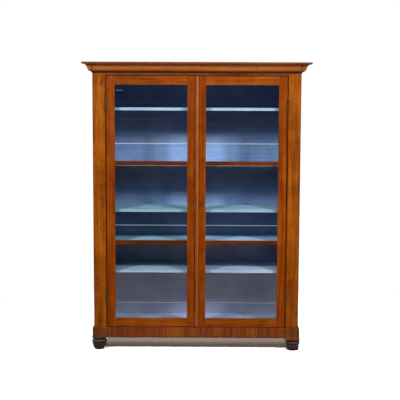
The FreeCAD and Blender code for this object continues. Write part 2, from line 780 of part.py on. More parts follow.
def cutStileJoints(piece, sightX, away):
    """The glass rebate and the mortises along a stile's inner edge. away is + where the wood lies at
    greater X than the edge, - where it lies at less."""
    def run(length):
        return f"{sightX} - ({length})" if away == "-" else sightX

    piece.cut((run("rebate_width"), "rebate_y", "glass_base - rebate_width"),
              ("rebate_width", "rebate_depth", "glass_top - glass_base + 2 * rebate_width"))
    for low, high in (("door_base + door_tenon_shoulder", "glass_base - rebate_width"),
                      ("glass_top + rebate_width", "door_top - door_tenon_shoulder")):
        piece.cut((run("door_tenon_length"), "tenon_y", low),
                  ("door_tenon_length", "door_tenon_thickness", f"{high} - ({low})"))
    reach = "rebate_width + bar_tenon_length"
    for height in barHeights.values():
        piece.cut((run(reach), "tenon_y", f"{height} - bar_tenon_half"),
                  (reach, "door_tenon_thickness", "2 * bar_tenon_half"))


def makeHingeStile(door):
    piece = door.start("hinge_stile", ("door_x", "front_y", "door_base"))
    piece.add(("door_x", "front_y", "door_base"), ("hinge_stile_width", "door_thickness", "door_height"))
    cutStileJoints(piece, "glass_x", "-")
    for base in ("hinge_bottom_base", "hinge_top_base"):
        cutHingeSeat(piece, base, "door_x")
    door.keep(piece, "hinge_stile")


def makeMeetingStile(door):
    piece = door.start("meeting_stile", ("-middle_sight", "front_y", "door_base"))
    piece.add(("-middle_sight", "front_y", "door_base"),
              (f"{door.freeX} + middle_sight", "door_thickness", "door_height"))
    cutStileJoints(piece, "-middle_sight", "+")
    if door.side == "left":
        cutStrike(piece, door.freeX)
    else:
        cutLockSeat(piece, door.freeX)
    door.keep(piece, "meeting_stile")


def cutStrike(piece, freeX):
    """The mortise that the lock's bolt enters."""
    reach = "lock_travel - lock_bolt_setback - door_meeting_gap + strike_play"
    piece.cut((f"{freeX} - ({reach})", "lock_bolt_y - strike_play",
               "lock_height - lock_bolt_height / 2 - strike_play"),
              (reach, "lock_bolt_thickness + 2 * strike_play", "lock_bolt_height + 2 * strike_play"))


def cutLockSeat(piece, freeX):
    """The seat of the lock case in the back of the stile, and the keyhole through to it."""
    piece.cut((f"{freeX} - lock_case_width", "lock_y", "lock_height - lock_case_length / 2"),
              ("lock_case_width", "lock_case_thickness", "lock_case_length"))
    cutKeyhole(piece, f"{freeX} - lock_backset", "front_y", "lock_y - front_y")


def cutKeyhole(piece, keyX, startY, depth):
    piece.bore((keyX, startY, "lock_height"), "keyhole_diameter / 2", depth, alongY)
    piece.cut((f"{keyX} - keyhole_slot_width / 2", startY, "lock_height - keyhole_slot_length"),
              ("keyhole_slot_width", depth, "keyhole_slot_length"))


def makeDoorRails(door):
    """Top and bottom rail, rebated for the glass and tenoned into both stiles."""
    rails = {
        "top_rail": ("glass_top", "door_top", "glass_top", "glass_top + rebate_width",
                     "door_top - door_tenon_shoulder"),
        "bottom_rail": ("door_base", "glass_base", "glass_base - rebate_width",
                        "door_base + door_tenon_shoulder", "glass_base - rebate_width"),
    }
    for name, (low, high, rebateBase, tenonBase, tenonTop) in rails.items():
        piece = door.start(name, ("glass_x", "front_y", low))
        piece.add(("glass_x", "front_y", low), ("glass_width", "door_thickness", f"{high} - {low}"))
        piece.cut(("glass_x", "rebate_y", rebateBase), ("glass_width", "rebate_depth", "rebate_width"))
        for startX in ("glass_x - door_tenon_length", "-middle_sight"):
            piece.add((startX, "tenon_y", tenonBase),
                      ("door_tenon_length", "door_tenon_thickness", f"{tenonTop} - ({tenonBase})"))
        door.keep(piece, name)


def makeGlazingBars(door):
    """T-section bars: the glass lies behind the wide front, and the core runs on into the rebates."""
    for name, height in barHeights.items():
        low = f"{height} - glazing_bar_height / 2"
        piece = door.start(f"{name}_bar", ("glass_x", "front_y", low))
        piece.add(("glass_x", "front_y", low), ("glass_width", "door_thickness", "glazing_bar_height"))
        for base in (low, f"{height} + glazing_bar_height / 2 - rebate_width"):
            piece.cut(("glass_x", "rebate_y", base), ("glass_width", "rebate_depth", "rebate_width"))
        for startX in ("glass_x - rebate_width", "-middle_sight"):
            piece.add((startX, "rebate_y", f"{height} - glazing_bar_height / 2 + rebate_width"),
                      ("rebate_width", "rebate_depth", "glazing_bar_height - 2 * rebate_width"))
        for startX in ("glass_x - rebate_width - bar_tenon_length", "-middle_sight"):
            piece.add((startX, "tenon_y", f"{height} - bar_tenon_half"),
                      ("rebate_width + bar_tenon_length", "door_tenon_thickness", "2 * bar_tenon_half"))
        door.keep(piece, f"{name}_bar")


def makePanes(door):
    for name, (low, high) in paneSpans.items():
        corner = ("glass_x - pane_lap", "rebate_y", f"{low} - pane_lap")
        piece = door.start(f"{name}_pane", corner)
        height = f"{high} - ({low}) + 2 * pane_lap"
        piece.add(corner, ("glass_width + 2 * pane_lap", "glass_thickness", height))
        door.keep(piece, f"{name}_pane")


def makeGlazingBeads(door):
    """Four beads behind each pane hold it in its rebate."""
    beads = []
    depth = "rebate_depth - glass_thickness"
    wide = "glass_width + 2 * rebate_width"
    for name, (low, high) in paneSpans.items():
        bottom = f"{low} - rebate_width"
        top = f"{high} + rebate_width - bead_width"
        tall = f"{top} - ({bottom}) - bead_width"
        spots = [
            ("glass_x - rebate_width", bottom, wide, "bead_width"),
            ("glass_x - rebate_width", top, wide, "bead_width"),
            ("glass_x - rebate_width", f"{bottom} + bead_width", "bead_width", tall),
            ("-middle_sight + rebate_width - bead_width", f"{bottom} + bead_width", "bead_width", tall),
        ]
        for x, z, across, rise in spots:
            corner = (x, "rebate_y + glass_thickness", z)
            bead = door.start(f"{name}_bead_{len(beads) + 1}", corner)
            bead.add(corner, (across, depth, rise))
            beads.append(bead.body)
    door.keep(group(door.label("glazing_beads"), beads), "glazing_beads")


def makeAstragal(door):
    """A half-round bead planted on the meeting edge, short of the other door."""
    flank = "front_y - astragal_quirk"
    piece = Piece("astragal_as_left", (f"{door.freeX} - astragal_width", "front_y", "door_base"))
    swell = "(astragal_thickness - astragal_quirk)"
    bend = f"((astragal_width / 2) ^ 2 + {swell} ^ 2) / (2 * {swell})"
    section = piece.outline("XY_Plane", "door_base", [
        (f"{door.freeX} - astragal_width", "front_y"),
        (f"{door.freeX} - astragal_width", flank, bend),
        (door.freeX, flank),
        (door.freeX, "front_y"),
    ])
    piece.pad(section, "door_height")
    keep(mirrored(piece.body, "astragal"))


# ---- hinges: lift-off pairs, the pin standing in the post's knuckle ----

hingeBases = {"top": "hinge_top_base", "bottom": "hinge_bottom_base"}
leafPlate = "front_y + leaf_depth - leaf_y"


def makeFrameLeaves():
    leaves = []
    pins = []
    leafX = "-opening_half - leaf_thickness"
    for name, base in hingeBases.items():
        leaf = Piece(f"frame_leaf_{name}", ("hinge_x", "hinge_y", base))
        leaf.add((leafX, "leaf_y", base), ("leaf_thickness", leafPlate, "hinge_length"))
        leaf.add((leafX, "hinge_y", base), ("leaf_thickness", "leaf_y - hinge_y", "knuckle_length"))
        leaf.addRod(("hinge_x", "hinge_y", base), "knuckle_radius", "knuckle_length")
        leaf.bore(("hinge_x", "hinge_y", f"{base} + pin_seat"), "pin_diameter / 2",
                  "knuckle_length - pin_seat")
        leaves.append(leaf.body)
        pin = Piece(f"hinge_pin_{name}", ("hinge_x", "hinge_y", f"{base} + pin_seat"))
        pin.addRod(("hinge_x", "hinge_y", f"{base} + pin_seat"), "pin_diameter / 2",
                   "knuckle_length - pin_seat + pin_reach")
        pins.append(pin.body)
    keep(group("hinge_frame_leaves", leaves + [mirrored(leaf, f"{leaf.Label}_right") for leaf in leaves]))
    keep(group("hinge_pins", pins + [mirrored(pin, f"{pin.Label}_right") for pin in pins]))


def finialProfile(base):
    """Half of a turned finial: a groove, a ring and a bud on a thin neck."""
    shape = [
        ("0", "0"),
        ("knuckle_radius - finial_groove", "0"),
        ("knuckle_radius - finial_groove", "finial_ring_height / 3"),
        ("knuckle_radius", "finial_ring_height / 3"),
        ("knuckle_radius", "finial_ring_height"),
        ("finial_neck_radius", "finial_ring_height"),
        ("finial_bud_radius", "finial_ring_height + (finial_length - finial_ring_height) / 3"),
        ("finial_tip_radius", "finial_length"),
        ("0", "finial_length"),
    ]
    return [(f"hinge_x + {x}", f"{base} + {z}") for x, z in shape]


def makeDoorLeaves(door):
    leaves = []
    for name, base in hingeBases.items():
        rise = f"{base} + knuckle_length + knuckle_play"
        tip = f"{base} + hinge_length"
        leaf = door.start(f"leaf_{name}", ("hinge_x", "hinge_y", base))
        leaf.add(("door_x", "leaf_y", base), ("leaf_thickness", leafPlate, "hinge_length"))
        leaf.add(("door_x", "hinge_y", rise), ("leaf_thickness", "leaf_y - hinge_y", "knuckle_length"))
        leaf.addRod(("hinge_x", "hinge_y", rise), "knuckle_radius", "knuckle_length")
        leaf.turn(leaf.outline("XZ_Plane", "hinge_y", finialProfile(tip)))
        leaf.bore(("hinge_x", "hinge_y", rise), "pin_diameter / 2 + pin_clearance", "pin_reach")
        leaves.append(leaf.body)
    door.keep(group(door.label("hinge_leaves"), leaves), "hinge_leaves")


# ---- lock and slide bolts ----

alongY = Rotation(Vector(1, 0, 0), -90)


def makeLock(door):
    caseX = f"{door.freeX} - lock_case_width"
    caseZ = "lock_height - lock_case_length / 2"
    case = Piece("lock_case_as_left", (caseX, "lock_y", caseZ))
    case.add((caseX, "lock_y", caseZ), ("lock_case_width", "lock_case_thickness", "lock_case_length"))
    case.cut((f"{caseX} + lock_wall", "lock_y + lock_wall", f"{caseZ} + lock_wall"),
             ("lock_case_width - 2 * lock_wall", "lock_case_thickness - 2 * lock_wall",
              "lock_case_length - 2 * lock_wall"))
    case.cut((f"{door.freeX} - lock_wall", "lock_bolt_y - slide_clearance",
              "lock_height - lock_bolt_height / 2 - slide_clearance"),
             ("lock_wall", "lock_bolt_thickness + 2 * slide_clearance",
              "lock_bolt_height + 2 * slide_clearance"))
    cutKeyhole(case, f"{door.freeX} - lock_backset", "lock_y", "lock_wall")
    keep(mirrored(case.body, "lock_case"))
    boltX = f"{door.freeX} - lock_bolt_setback - lock_bolt_length"
    bolt = Piece("lock_bolt_as_left", (boltX, "lock_bolt_y", "lock_height - lock_bolt_height / 2"))
    bolt.add((boltX, "lock_bolt_y", "lock_height - lock_bolt_height / 2"),
             ("lock_bolt_length", "lock_bolt_thickness", "lock_bolt_height"))
    keep(mirrored(bolt.body, "lock_bolt"))


def makeEscutcheon():
    keyX = "lock_backset - right_free_x"
    backY = "front_y - escutcheon_thickness"
    radius = "escutcheon_width / 2"
    low = "lock_height - escutcheon_height / 2 + escutcheon_width / 2"
    high = "lock_height + escutcheon_height / 2 - escutcheon_width / 2"
    piece = Piece("escutcheon", (keyX, backY, "lock_height"))
    piece.add((f"{keyX} - escutcheon_width / 2", backY, low),
              ("escutcheon_width", "escutcheon_thickness", "escutcheon_height - escutcheon_width"))
    for end in (low, high):
        piece.addRod((keyX, backY, end), radius, "escutcheon_thickness", alongY)
    cutKeyhole(piece, keyX, backY, "escutcheon_thickness")
    keep(piece)


def makeSlideBolt(name, low, knobDrop):
    """A round bolt with a thumb knob. Returns the guide that carries it, a plate with two staples."""
    middle = f"{low} + bolt_length / 2 {knobDrop} bolt_travel / 2"
    bolt = Piece(name, ("bolt_x", "bolt_y", low))
    bolt.addRod(("bolt_x", "bolt_y", low), "bolt_diameter / 2", "bolt_length")
    bolt.addRod(("bolt_x", "bolt_y", middle), "bolt_knob_diameter / 2", "bolt_knob_length", alongY)
    keep(bolt)
    base = f"{low} + (bolt_length - guide_length) / 2"
    guide = Piece(f"guide_of_{name}", ("bolt_x", "door_back_y", base))
    guide.add(("bolt_x - guide_width / 2", "door_back_y", base),
              ("guide_width", "guide_plate_thickness", "guide_length"))
    for start in (base, f"{base} + guide_length - staple_length"):
        guide.add(("bolt_x - staple_width / 2", "door_back_y", start),
                  ("staple_width", "staple_height", "staple_length"))
    guide.bore(("bolt_x", "bolt_y", base), "bolt_diameter / 2 + slide_clearance", "guide_length")
    return guide.body


def makeSlideBolts():
    guides = [
        makeSlideBolt("top_bolt", "stop_base - bolt_setback - bolt_length", "-"),
        makeSlideBolt("bottom_bolt", "bottom_board_top + bolt_setback", "+"),
    ]
    keep(group("bolt_guides", guides))


def makeDoor(door):
    makeHingeStile(door)
    makeMeetingStile(door)
    makeDoorRails(door)
    makeGlazingBars(door)
    makePanes(door)
    makeGlazingBeads(door)
    makeDoorLeaves(door)


makeFoot("left", "foot_height", "foot_ring_height", "foot_base_diameter")
makeFoot("right", "right_foot_height", "right_foot_ring_height", "right_foot_base_diameter")
makePlinthBlock("left", "foot_height")
makePlinthBlock("right", "right_foot_height")
makeFrontPost()
makeRearPost()
makeSideBottomRail()
makeSideTopRail()
makeSidePanel()
makeFrontTopRail()
makeFrontBottomRail()
makeBottomBoard()
makeTopBoard()
makeBackBoards()
makeCorniceFront()
makeCorniceSide()
makeRacks()
makeBearers()
makeShelves()
makeFrameLeaves()

leftDoor = Door("left", "left_free_x")
rightDoor = Door("right", "right_free_x")
makeDoor(leftDoor)
makeDoor(rightDoor)
makeSlideBolts()
makeAstragal(rightDoor)
makeLock(rightDoor)
makeEscutcheon()

doc.recompute()


def checkDocument():
    """Stops unless every object is sound, every cut removes wood and every piece is a valid solid."""
    for item in doc.Objects:
        if "Invalid" in item.State or "Error" in item.State:
            raise RuntimeError(f"{item.Label} failed: {item.State}")
        cuts = item.TypeId.startswith("PartDesign::Subtractive") or item.TypeId == "PartDesign::Pocket"
        if cuts and item.BaseFeature.Shape.Volume - item.Shape.Volume < 1:
            raise RuntimeError(f"{item.Label} of {item.getParentGeoFeatureGroup().Label} cuts nothing")
    for piece in pieces:
        if piece.Shape.isNull() or not piece.Shape.isValid() or not piece.Shape.Solids:
            raise RuntimeError(f"{piece.Label} has no valid solid")


checkDocument()
os.makedirs("parts", exist_ok=True)
for piece in pieces:
    piece.Shape.exportStep(f"parts/{piece.Label}.step")
    box = piece.Shape.BoundBox
    print(f"{piece.Label:24} {len(piece.Shape.Solids):2} solids, {box.XLength:7.1f} x {box.YLength:6.1f}"
          f" x {box.ZLength:7.1f}")
print(len(pieces), "pieces")
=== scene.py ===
import math
import bmesh
import bpy
from mathutils import Matrix, Vector


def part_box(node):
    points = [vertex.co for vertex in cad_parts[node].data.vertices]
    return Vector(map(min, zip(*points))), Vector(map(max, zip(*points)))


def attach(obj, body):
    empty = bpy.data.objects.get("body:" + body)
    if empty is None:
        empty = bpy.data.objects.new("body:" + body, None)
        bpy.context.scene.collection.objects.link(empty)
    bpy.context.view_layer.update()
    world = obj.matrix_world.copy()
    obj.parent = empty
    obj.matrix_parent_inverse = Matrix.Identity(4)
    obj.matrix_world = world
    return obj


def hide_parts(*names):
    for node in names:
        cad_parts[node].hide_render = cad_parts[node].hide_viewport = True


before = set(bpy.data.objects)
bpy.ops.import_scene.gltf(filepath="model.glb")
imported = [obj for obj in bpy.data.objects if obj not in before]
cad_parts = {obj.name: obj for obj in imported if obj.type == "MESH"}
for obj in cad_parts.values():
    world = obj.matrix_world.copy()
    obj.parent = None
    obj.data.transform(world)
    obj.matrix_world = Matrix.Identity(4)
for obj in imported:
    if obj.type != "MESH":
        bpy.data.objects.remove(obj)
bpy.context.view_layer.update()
print("frame loaded:", len(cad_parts), "nodes")

# Lowest and highest corners of the nodes that finishes and fasteners are placed by
doorLow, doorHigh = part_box("right_hinge_stile")
postLow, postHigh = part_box("front_post_right")
boardLow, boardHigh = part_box("bottom_board")
corniceLow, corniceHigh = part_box("cornice_front")
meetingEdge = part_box("left_meeting_stile")[1].x


class Value:
    # A shader number. Arithmetic on it adds Math nodes.
    def __init__(self, graph, socket):
        self.graph = graph
        self.socket = socket

    def math(self, operation, *others):
        node = self.graph.node("ShaderNodeMath", {"operation": operation},
                               dict(enumerate((self,) + others)))
        return Value(self.graph, node.outputs[0])

    def __add__(self, other):
        return self.math("ADD", other)

    def __sub__(self, other):
        return self.math("SUBTRACT", other)

    def __rsub__(self, other):
        return (self * -1).math("ADD", other)

    def __mul__(self, other):
        return self.math("MULTIPLY", other)

    def __rmul__(self, other):
        return self.math("MULTIPLY", other)

    def __pow__(self, other):
        return self.math("POWER", other)

    def clamped(self):
        return self.math("MAXIMUM", 0).math("MINIMUM", 1)

    def above(self, level):
        return self.math("GREATER_THAN", level)

    def larger(self, other):
        return self.math("MAXIMUM", other)

    def between(self, low, high):
        # 0 below low, 1 above high and a smooth step between them
        node = self.graph.node("ShaderNodeMapRange", {"interpolation_type": "SMOOTHSTEP"},
                               {"Value": self, "From Min": low, "From Max": high})
        return Value(self.graph, node.outputs["Result"])

    def near(self, place, reach):
        # 1 around a place, down to 0 a reach away from it
        return 1 - (self - place).math("ABSOLUTE").between(reach * 0.35, reach)

    def spread(self, low, high):
        # maps 0..1 to low..high
        return self * (high - low) + low


class Graph:
    # Adds nodes to a tree: the node's type, its settings, then values or links by socket.
    def __init__(self, tree):
        self.tree = tree
        tree.nodes.clear()

    def node(self, kind, settings=None, values=None):
        node = self.tree.nodes.new(kind)
        for name, setting in (settings or {}).items():
            if name == "stops":
                for index, (place, colour) in enumerate(setting):
                    stops = node.color_ramp.elements
                    stop = stops[index] if index < len(stops) else stops.new(place)
                    stop.position = place
                    stop.color = (*colour, 1)
            else:
                setattr(node, name, setting)
        for name, value in (values or {}).items():
            self.feed(node.inputs[name], value)
        return node

    def feed(self, socket, value):
        source = value.socket if isinstance(value, Value) else value
        if isinstance(source, bpy.types.NodeSocket):
            self.tree.links.new(source, socket)
        elif isinstance(source, tuple) and len(source) == 3 and socket.type == "RGBA":
            socket.default_value = (*source, 1)
        else:
            socket.default_value = source


class Finish(Graph):
    # One material, or the world.
    def __init__(self, name, world=None):
        self.owner = world or bpy.data.materials.new(name)
        self.owner.use_nodes = True
        super().__init__(self.owner.node_tree)
        self.output = self.node("ShaderNodeOutputWorld" if world else "ShaderNodeOutputMaterial")

    def place(self, scale=(1, 1, 1), seed=0):
        # Object coordinates, stretched and moved to the seed's own spot of the pattern
        coords = self.node("ShaderNodeTexCoord").outputs["Object"]
        spot = (seed * 1.37, seed * 2.11, seed * 0.73)
        values = {"Vector": coords, "Location": spot, "Scale": scale}
        return self.node("ShaderNodeMapping", values=values).outputs[0]

    def parts(self, vector=None):
        node = self.node("ShaderNodeSeparateXYZ", values={0: vector or self.place()})
        return [Value(self, socket) for socket in node.outputs]

    def facing(self, way):
        # 1 on the faces that look that way
        normal = self.node("ShaderNodeNewGeometry").outputs["Normal"]
        node = self.node("ShaderNodeVectorMath", {"operation": "DOT_PRODUCT"}, {0: normal, 1: way})
        return Value(self, node.outputs["Value"]).above(0.7)        # within some 45 degrees

    def noise(self, vector, scale, detail=3.0, rough=0.5, warp=0.0):
        node = self.node("ShaderNodeTexNoise", values={"Vector": vector, "Scale": scale, "Detail": detail,
                                                       "Roughness": rough, "Distortion": warp})
        return Value(self, node.outputs[0])

    def ramp(self, value, stops):
        return self.node("ShaderNodeValToRGB", {"stops": stops}, {0: value}).outputs["Color"]

    def mix(self, share, first, second, blend="MIX"):
        node = self.node("ShaderNodeMix", {"data_type": "RGBA", "blend_type": blend},
                         {0: share, 6: first, 7: second})
        return node.outputs[2]

    def bump(self, height, distance, strength=1.0, under=None):
        values = {"Height": height, "Distance": distance, "Strength": strength}
        if under:
            values["Normal"] = under
        return self.node("ShaderNodeBump", values=values).outputs[0]

    def wornEdge(self, radius):
        # The rounded normal, and a mask of the arrises it rounds
        rounded = self.node("ShaderNodeBevel", {"samples": 4}, {"Radius": radius}).outputs[0]
        flat = self.node("ShaderNodeNewGeometry").outputs["Normal"]
        node = self.node("ShaderNodeVectorMath", {"operation": "DOT_PRODUCT"}, {0: rounded, 1: flat})
        return rounded, (1 - Value(self, node.outputs["Value"])).between(0.02, 0.25)

    def surface(self, values):
        shader = self.node("ShaderNodeBsdfPrincipled", values=values)
        self.tree.links.new(shader.outputs[0], self.output.inputs[0])


def colour(red, green, blue):
    # A screen colour, 0 to 255, as the linear one that shaders use
    return tuple(c / 12.92 if c <= 0.04045 else ((c + 0.055) / 1.055) ** 2.4
                 for c in (red / 255, green / 255, blue / 255))


def dress(nodeName, material):
    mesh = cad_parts[nodeName].data
    mesh.materials.clear()
    mesh.materials.append(material)


def stretched(grain, factor):
    # The pattern's scale for a board whose fibres run up, across or deep
    return tuple(factor if axis == grain else 1 for axis in ("across", "deep", "up"))


# Paint of the inside: darkest, middle and lightest of each coat
paint = {
    "back": (colour(104, 130, 180), colour(142, 170, 218), colour(168, 194, 236)),
    "boards": (colour(132, 168, 192), colour(160, 195, 217), colour(190, 219, 234)),
    "brush": 240.0,         # bristle marks per metre
    "strokes": 85.0,
    "patches": 5.0,
    "specks": 170.0,
    "roughness": (0.5, 0.7),
    "speckTone": colour(60, 58, 56),
    "bump": 0.0002,         # height of the brush marks, in metres
    "sheen": 0.25,
    "litRightHalf": (-0.1, 0.2),       # from where to where a board takes on the painted light of its right half
}


def paintCoat(finish, grain, stops, seed):
    # The coat's colour, roughness and height
    bristles = finish.noise(finish.place(stretched(grain, 0.03), seed), paint["brush"], 4, 0.6, 0.3)
    strokes = finish.noise(finish.place(stretched(grain, 0.025), seed + 9), paint["strokes"], 3, 0.6)
    patches = finish.noise(finish.place(seed=seed), paint["patches"], 5, 0.6)
    speck = finish.noise(finish.place(seed=seed), paint["specks"], 2, 0.5).between(0.7, 0.76)
    tone = (bristles - 0.5) * 0.4 + (strokes - 0.5) * 0.7 + (patches - 0.5) * 1.0 + 0.5
    base = finish.ramp(tone.clamped(), list(zip((0.1, 0.5, 0.9), stops)))
    base = finish.mix(speck * 0.5, base, paint["speckTone"])
    rough = (bristles * 0.5 + patches * 0.5).spread(*paint["roughness"])
    return base, rough, bristles * 0.6 + strokes * 0.4


def painted(name, grain, stops, seed, litRightHalf):
    finish = Finish(name)
    base, rough, height = paintCoat(finish, grain, stops, seed)
    # Painted light: the board's right half is paler
    base = finish.mix(finish.parts()[0].between(*paint["litRightHalf"]), base, litRightHalf, "MULTIPLY")
    finish.surface({"Base Color": base, "Roughness": rough, "Specular IOR Level": paint["sheen"],
                    "Normal": finish.bump(height, paint["bump"], 0.6)})
    return finish.owner


backing = {
    # Painted shade in each compartment, darkest under the shelf above it: over each shelf, from the top
    # down, how far above it the shade starts and is full, and its tint
    "shelfShades": {
        "shelf_one": (-0.012, 0.068, (0.58, 0.45, 0.46)),
        "shelf_two": (0.075, 0.340, (0.78, 0.49, 0.38)),
        "shelf_three": (-0.026, 0.214, (0.84, 0.48, 0.40)),
        "shelf_four": (-0.105, 0.205, (0.70, 0.44, 0.38)),
        "shelf_five": (-0.149, 0.151, (1.6, 0.82, 0.50)),
        "bottom_board": (0.208, 0.377, (0.75, 0.66, 0.70)),
    },
    "clouds": 6.0,
    "patchiness": (0.7, 1.3),
    "lowShadeTint": (0.74, 0.54, 0.54),                          # more painted shade below shelf five
    "lowShadeShare": 0.9,
    "joints": (0.813, 1.3956),                              # heights of the joints between the boards, painted pale for the light showing through them
    "gapLightReach": 0.003,
    "gapLightShare": 0.4,
    "splitAcross": (-0.547, 0.038),                         # middle and reach of the shrinkage split
    "splitUp": (postHigh.z - 0.1559, 0.006),
    "gapLight": colour(226, 232, 240),                   # painted light showing through the joints and the split
    "slitShade": (meetingEdge - 0.00345, 0.0060),            # painted shade behind the slit between the doors
    "slitShadeShare": 0.85,
    "fibres": 40.0,
    "rawPine": (colour(96, 70, 44), colour(134, 102, 68), colour(166, 134, 96)),
}


def backPaint():
    # Paint on the room side, bare pine behind
    finish = Finish("painted_back")
    base, rough, height = paintCoat(finish, "across", paint["back"], 1)
    x, z = finish.parts()[::2]
    cloud = finish.noise(finish.place((0.4, 1, 1), 5), backing["clouds"], 4, 0.6)
    patchy = cloud.spread(*backing["patchiness"])
    ceiling = postHigh.z
    # Painted shade: each compartment's back darkens towards the shelf above it
    for shelf, (start, full, tint) in backing["shelfShades"].items():
        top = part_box(shelf)[1].z
        rise = z.between(top + start, top + full) * z.above(top) * (1 - z.above(ceiling))
        base = finish.mix((rise * patchy).clamped(), base, tint, "MULTIPLY")
        ceiling = top
    # More painted shade below shelf five
    low = 1 - z.above(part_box("shelf_five")[1].z)
    base = finish.mix(low * backing["lowShadeShare"], base, backing["lowShadeTint"], "MULTIPLY")
    # Painted shade: a dark band up the back behind the slit between the doors
    shadeAndSheen = x.near(*backing["slitShade"]) * backing["slitShadeShare"]
    base = finish.mix(shadeAndSheen, base, paint["speckTone"])
    # Painted light: pale lines where light shows through the joints between the boards and through the split
    litJoints = sum((z.near(joint, backing["gapLightReach"]) for joint in backing["joints"]), 0 * z)
    split = z.near(*backing["splitUp"]) * x.near(*backing["splitAcross"])
    litGaps = (litJoints * backing["gapLightShare"]).larger(split).clamped()
    base = finish.mix(litGaps, base, backing["gapLight"])
    fibres = finish.noise(finish.place(stretched("across", 0.05), 3), backing["fibres"], 5, 0.6, 0.6)
    raw = finish.ramp(fibres, list(zip((0.3, 0.5, 0.72), backing["rawPine"])))
    base = finish.mix(finish.facing((0, 1, 0)), base, raw)
    finish.surface({"Base Color": base, "Roughness": rough, "Specular IOR Level": paint["sheen"],
                    "Normal": finish.bump(height * 0.5 + fibres * 0.5, paint["bump"], 0.6)})
    return finish.owner


dress("back_boards", backPaint())

# Each painted board's grain, how its coat differs in red, green and blue, and how its right half does again.
# The coats' tints are partly painted light and shade, and the paler right halves are painted light
even = (1.0, 1.0, 1.0)
coats = {
    "bottom_board": ("across", (0.98, 0.80, 0.95), even),
    "shelf_one": ("across", (1.3, 1.15, 1.25), even),
    "shelf_two": ("across", (1.4, 1.2, 1.15), even),
    "shelf_three": ("across", (0.9, 0.96, 0.98), (1.20, 1.08, 1.12)),
    "shelf_four": ("across", (1.08, 1.10, 1.10), (1.48, 1.28, 1.30)),
    "shelf_five": ("across", (1.08, 0.96, 0.98), (1.42, 1.24, 1.27)),
    "tooth_racks": ("up", even, even),
    "shelf_bearers": ("deep", even, even),
}
for seed, (nodeName, (grain, tint, litRightHalf)) in enumerate(coats.items(), start=2):
    stops = [tuple(min(channel * share, 0.9) for channel, share in zip(stop, tint))
             for stop in paint["boards"]]
    dress(nodeName, painted(f"painted_{nodeName}", grain, stops, seed, litRightHalf))
print("inside painted")


wood = {
    "streaks": 24.0,        # per metre across the grain
    "threads": 90.0,
    "pores": 420.0,
    "figure": 7.0,
    "specks": 55.0,
    "shares": (0.75, 0.6, 0.75),    # how far streaks, figure and threads swing the tone
    "swing": 1.4,
    "poreShare": 0.35,
    "speckShare": 0.6,
    "wear": 0.0012,         # radius of the rubbed arrises, in metres
    "wearPatches": 60.0,
    "wearShare": 0.4,
    "roughness": (0.36, 0.54),
    "grainDepth": 0.00018,
    # dark brown of specks, dirt and painted shade
    "grimeAndShade": colour(42, 11, 1),
    "grimeAndShadeShare": 0.92,
    "paintedWidth": boardHigh.x + 0.0005,       # where the inside's paint ends
    "paintedFrom": boardLow.z - 0.007,
}

grimeAndShade = {
    # Lines of dirt and painted shade along the gaps and outer arrises on the front: place, reach to both
    # sides, and share
    "besideDoors": ((doorHigh.x + postLow.x) / 2, 0.0070, 1.0),
    "aboveDoors": (doorHigh.z + 0.0012, 0.0054, 1.0),
    "belowDoors": (doorLow.z - 0.0008, 0.0040, 1.0),
    "meeting": (meetingEdge, 0.0040, 1.0),
    "bead": (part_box("astragal")[1].x + 0.00195, 0.0036, 0.6),
    "outer": (postHigh.x, 0.0065, 0.75),
    # Between which places they fade in or out
    "up": (doorLow.z - 0.0146, doorLow.z + 0.0054),
    "top": (doorHigh.z + 0.0014, doorHigh.z + 0.0094),
    "across": (postLow.x - 0.0004, postLow.x + 0.0010),
    "deep": (postLow.y + 0.0275, postLow.y + 0.0375),
    "patches": 16.0,
    "patchiness": (0.55, 1.25),
}


# Dirt and painted shade in lines along the gaps beside, above, below and between the doors, beside the bead
# and at the outer arrises
def grimeAndShadeMask(finish):
    def line(axis, name):
        place, reach, share = grimeAndShade[name]
        return axis.near(place, reach) * share

    x, y, z = finish.parts()
    span = x.math("ABSOLUTE")
    height = z.between(*grimeAndShade["up"]) * (1 - z.between(*grimeAndShade["top"]))
    inDoors = 1 - span.between(*grimeAndShade["across"])
    lines = line(span, "besideDoors") * height
    for name in ("aboveDoors", "belowDoors"):
        lines = lines.larger(line(z, name) * inDoors)
    for name in ("meeting", "bead"):
        lines = lines.larger(line(x, name) * height)
    lines = lines.larger(line(span, "outer"))
    patchy = finish.noise(finish.place(seed=3), grimeAndShade["patches"], 4, 0.6).spread(*grimeAndShade["patchiness"])
    return (lines * patchy * (1 - y.between(*grimeAndShade["deep"]))).clamped()


# Places are a height or, on the bead, a distance to the right, then the reach
corniceLightAndShade = {
    "hollow": (corniceHigh.z - 0.0215, 0.0110),
    "hollowLight": colour(240, 126, 44),
    "fillet": (corniceHigh.z - 0.0145, corniceHigh.z - 0.0115),     # painted shade from here up
    "filletShade": (0.42, 0.38, 0.50),
    "foot": (corniceLow.z + 0.0017, 0.0046),
    "footShade": 0.95,
}
beadHighlight = {
    "crown": (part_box("astragal")[1].x - 0.00575, 0.0058),
    "crownHighlight": colour(190, 108, 60),
    "patches": 40.0,
    "patchiness": (0.2, 0.72),
}
blockLightAndDark = {
    "scuffAndLight": (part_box("plinth_block_right")[1].z - 0.0760, 0.0120),
    "lowLightTone": colour(170, 96, 42),
    "lowLightShare": 0.55,
    "patches": 26.0,
    "top": (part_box("plinth_block_right")[1].z - 0.0005, 0.0050),
    "topDarkening": 0.6,
}


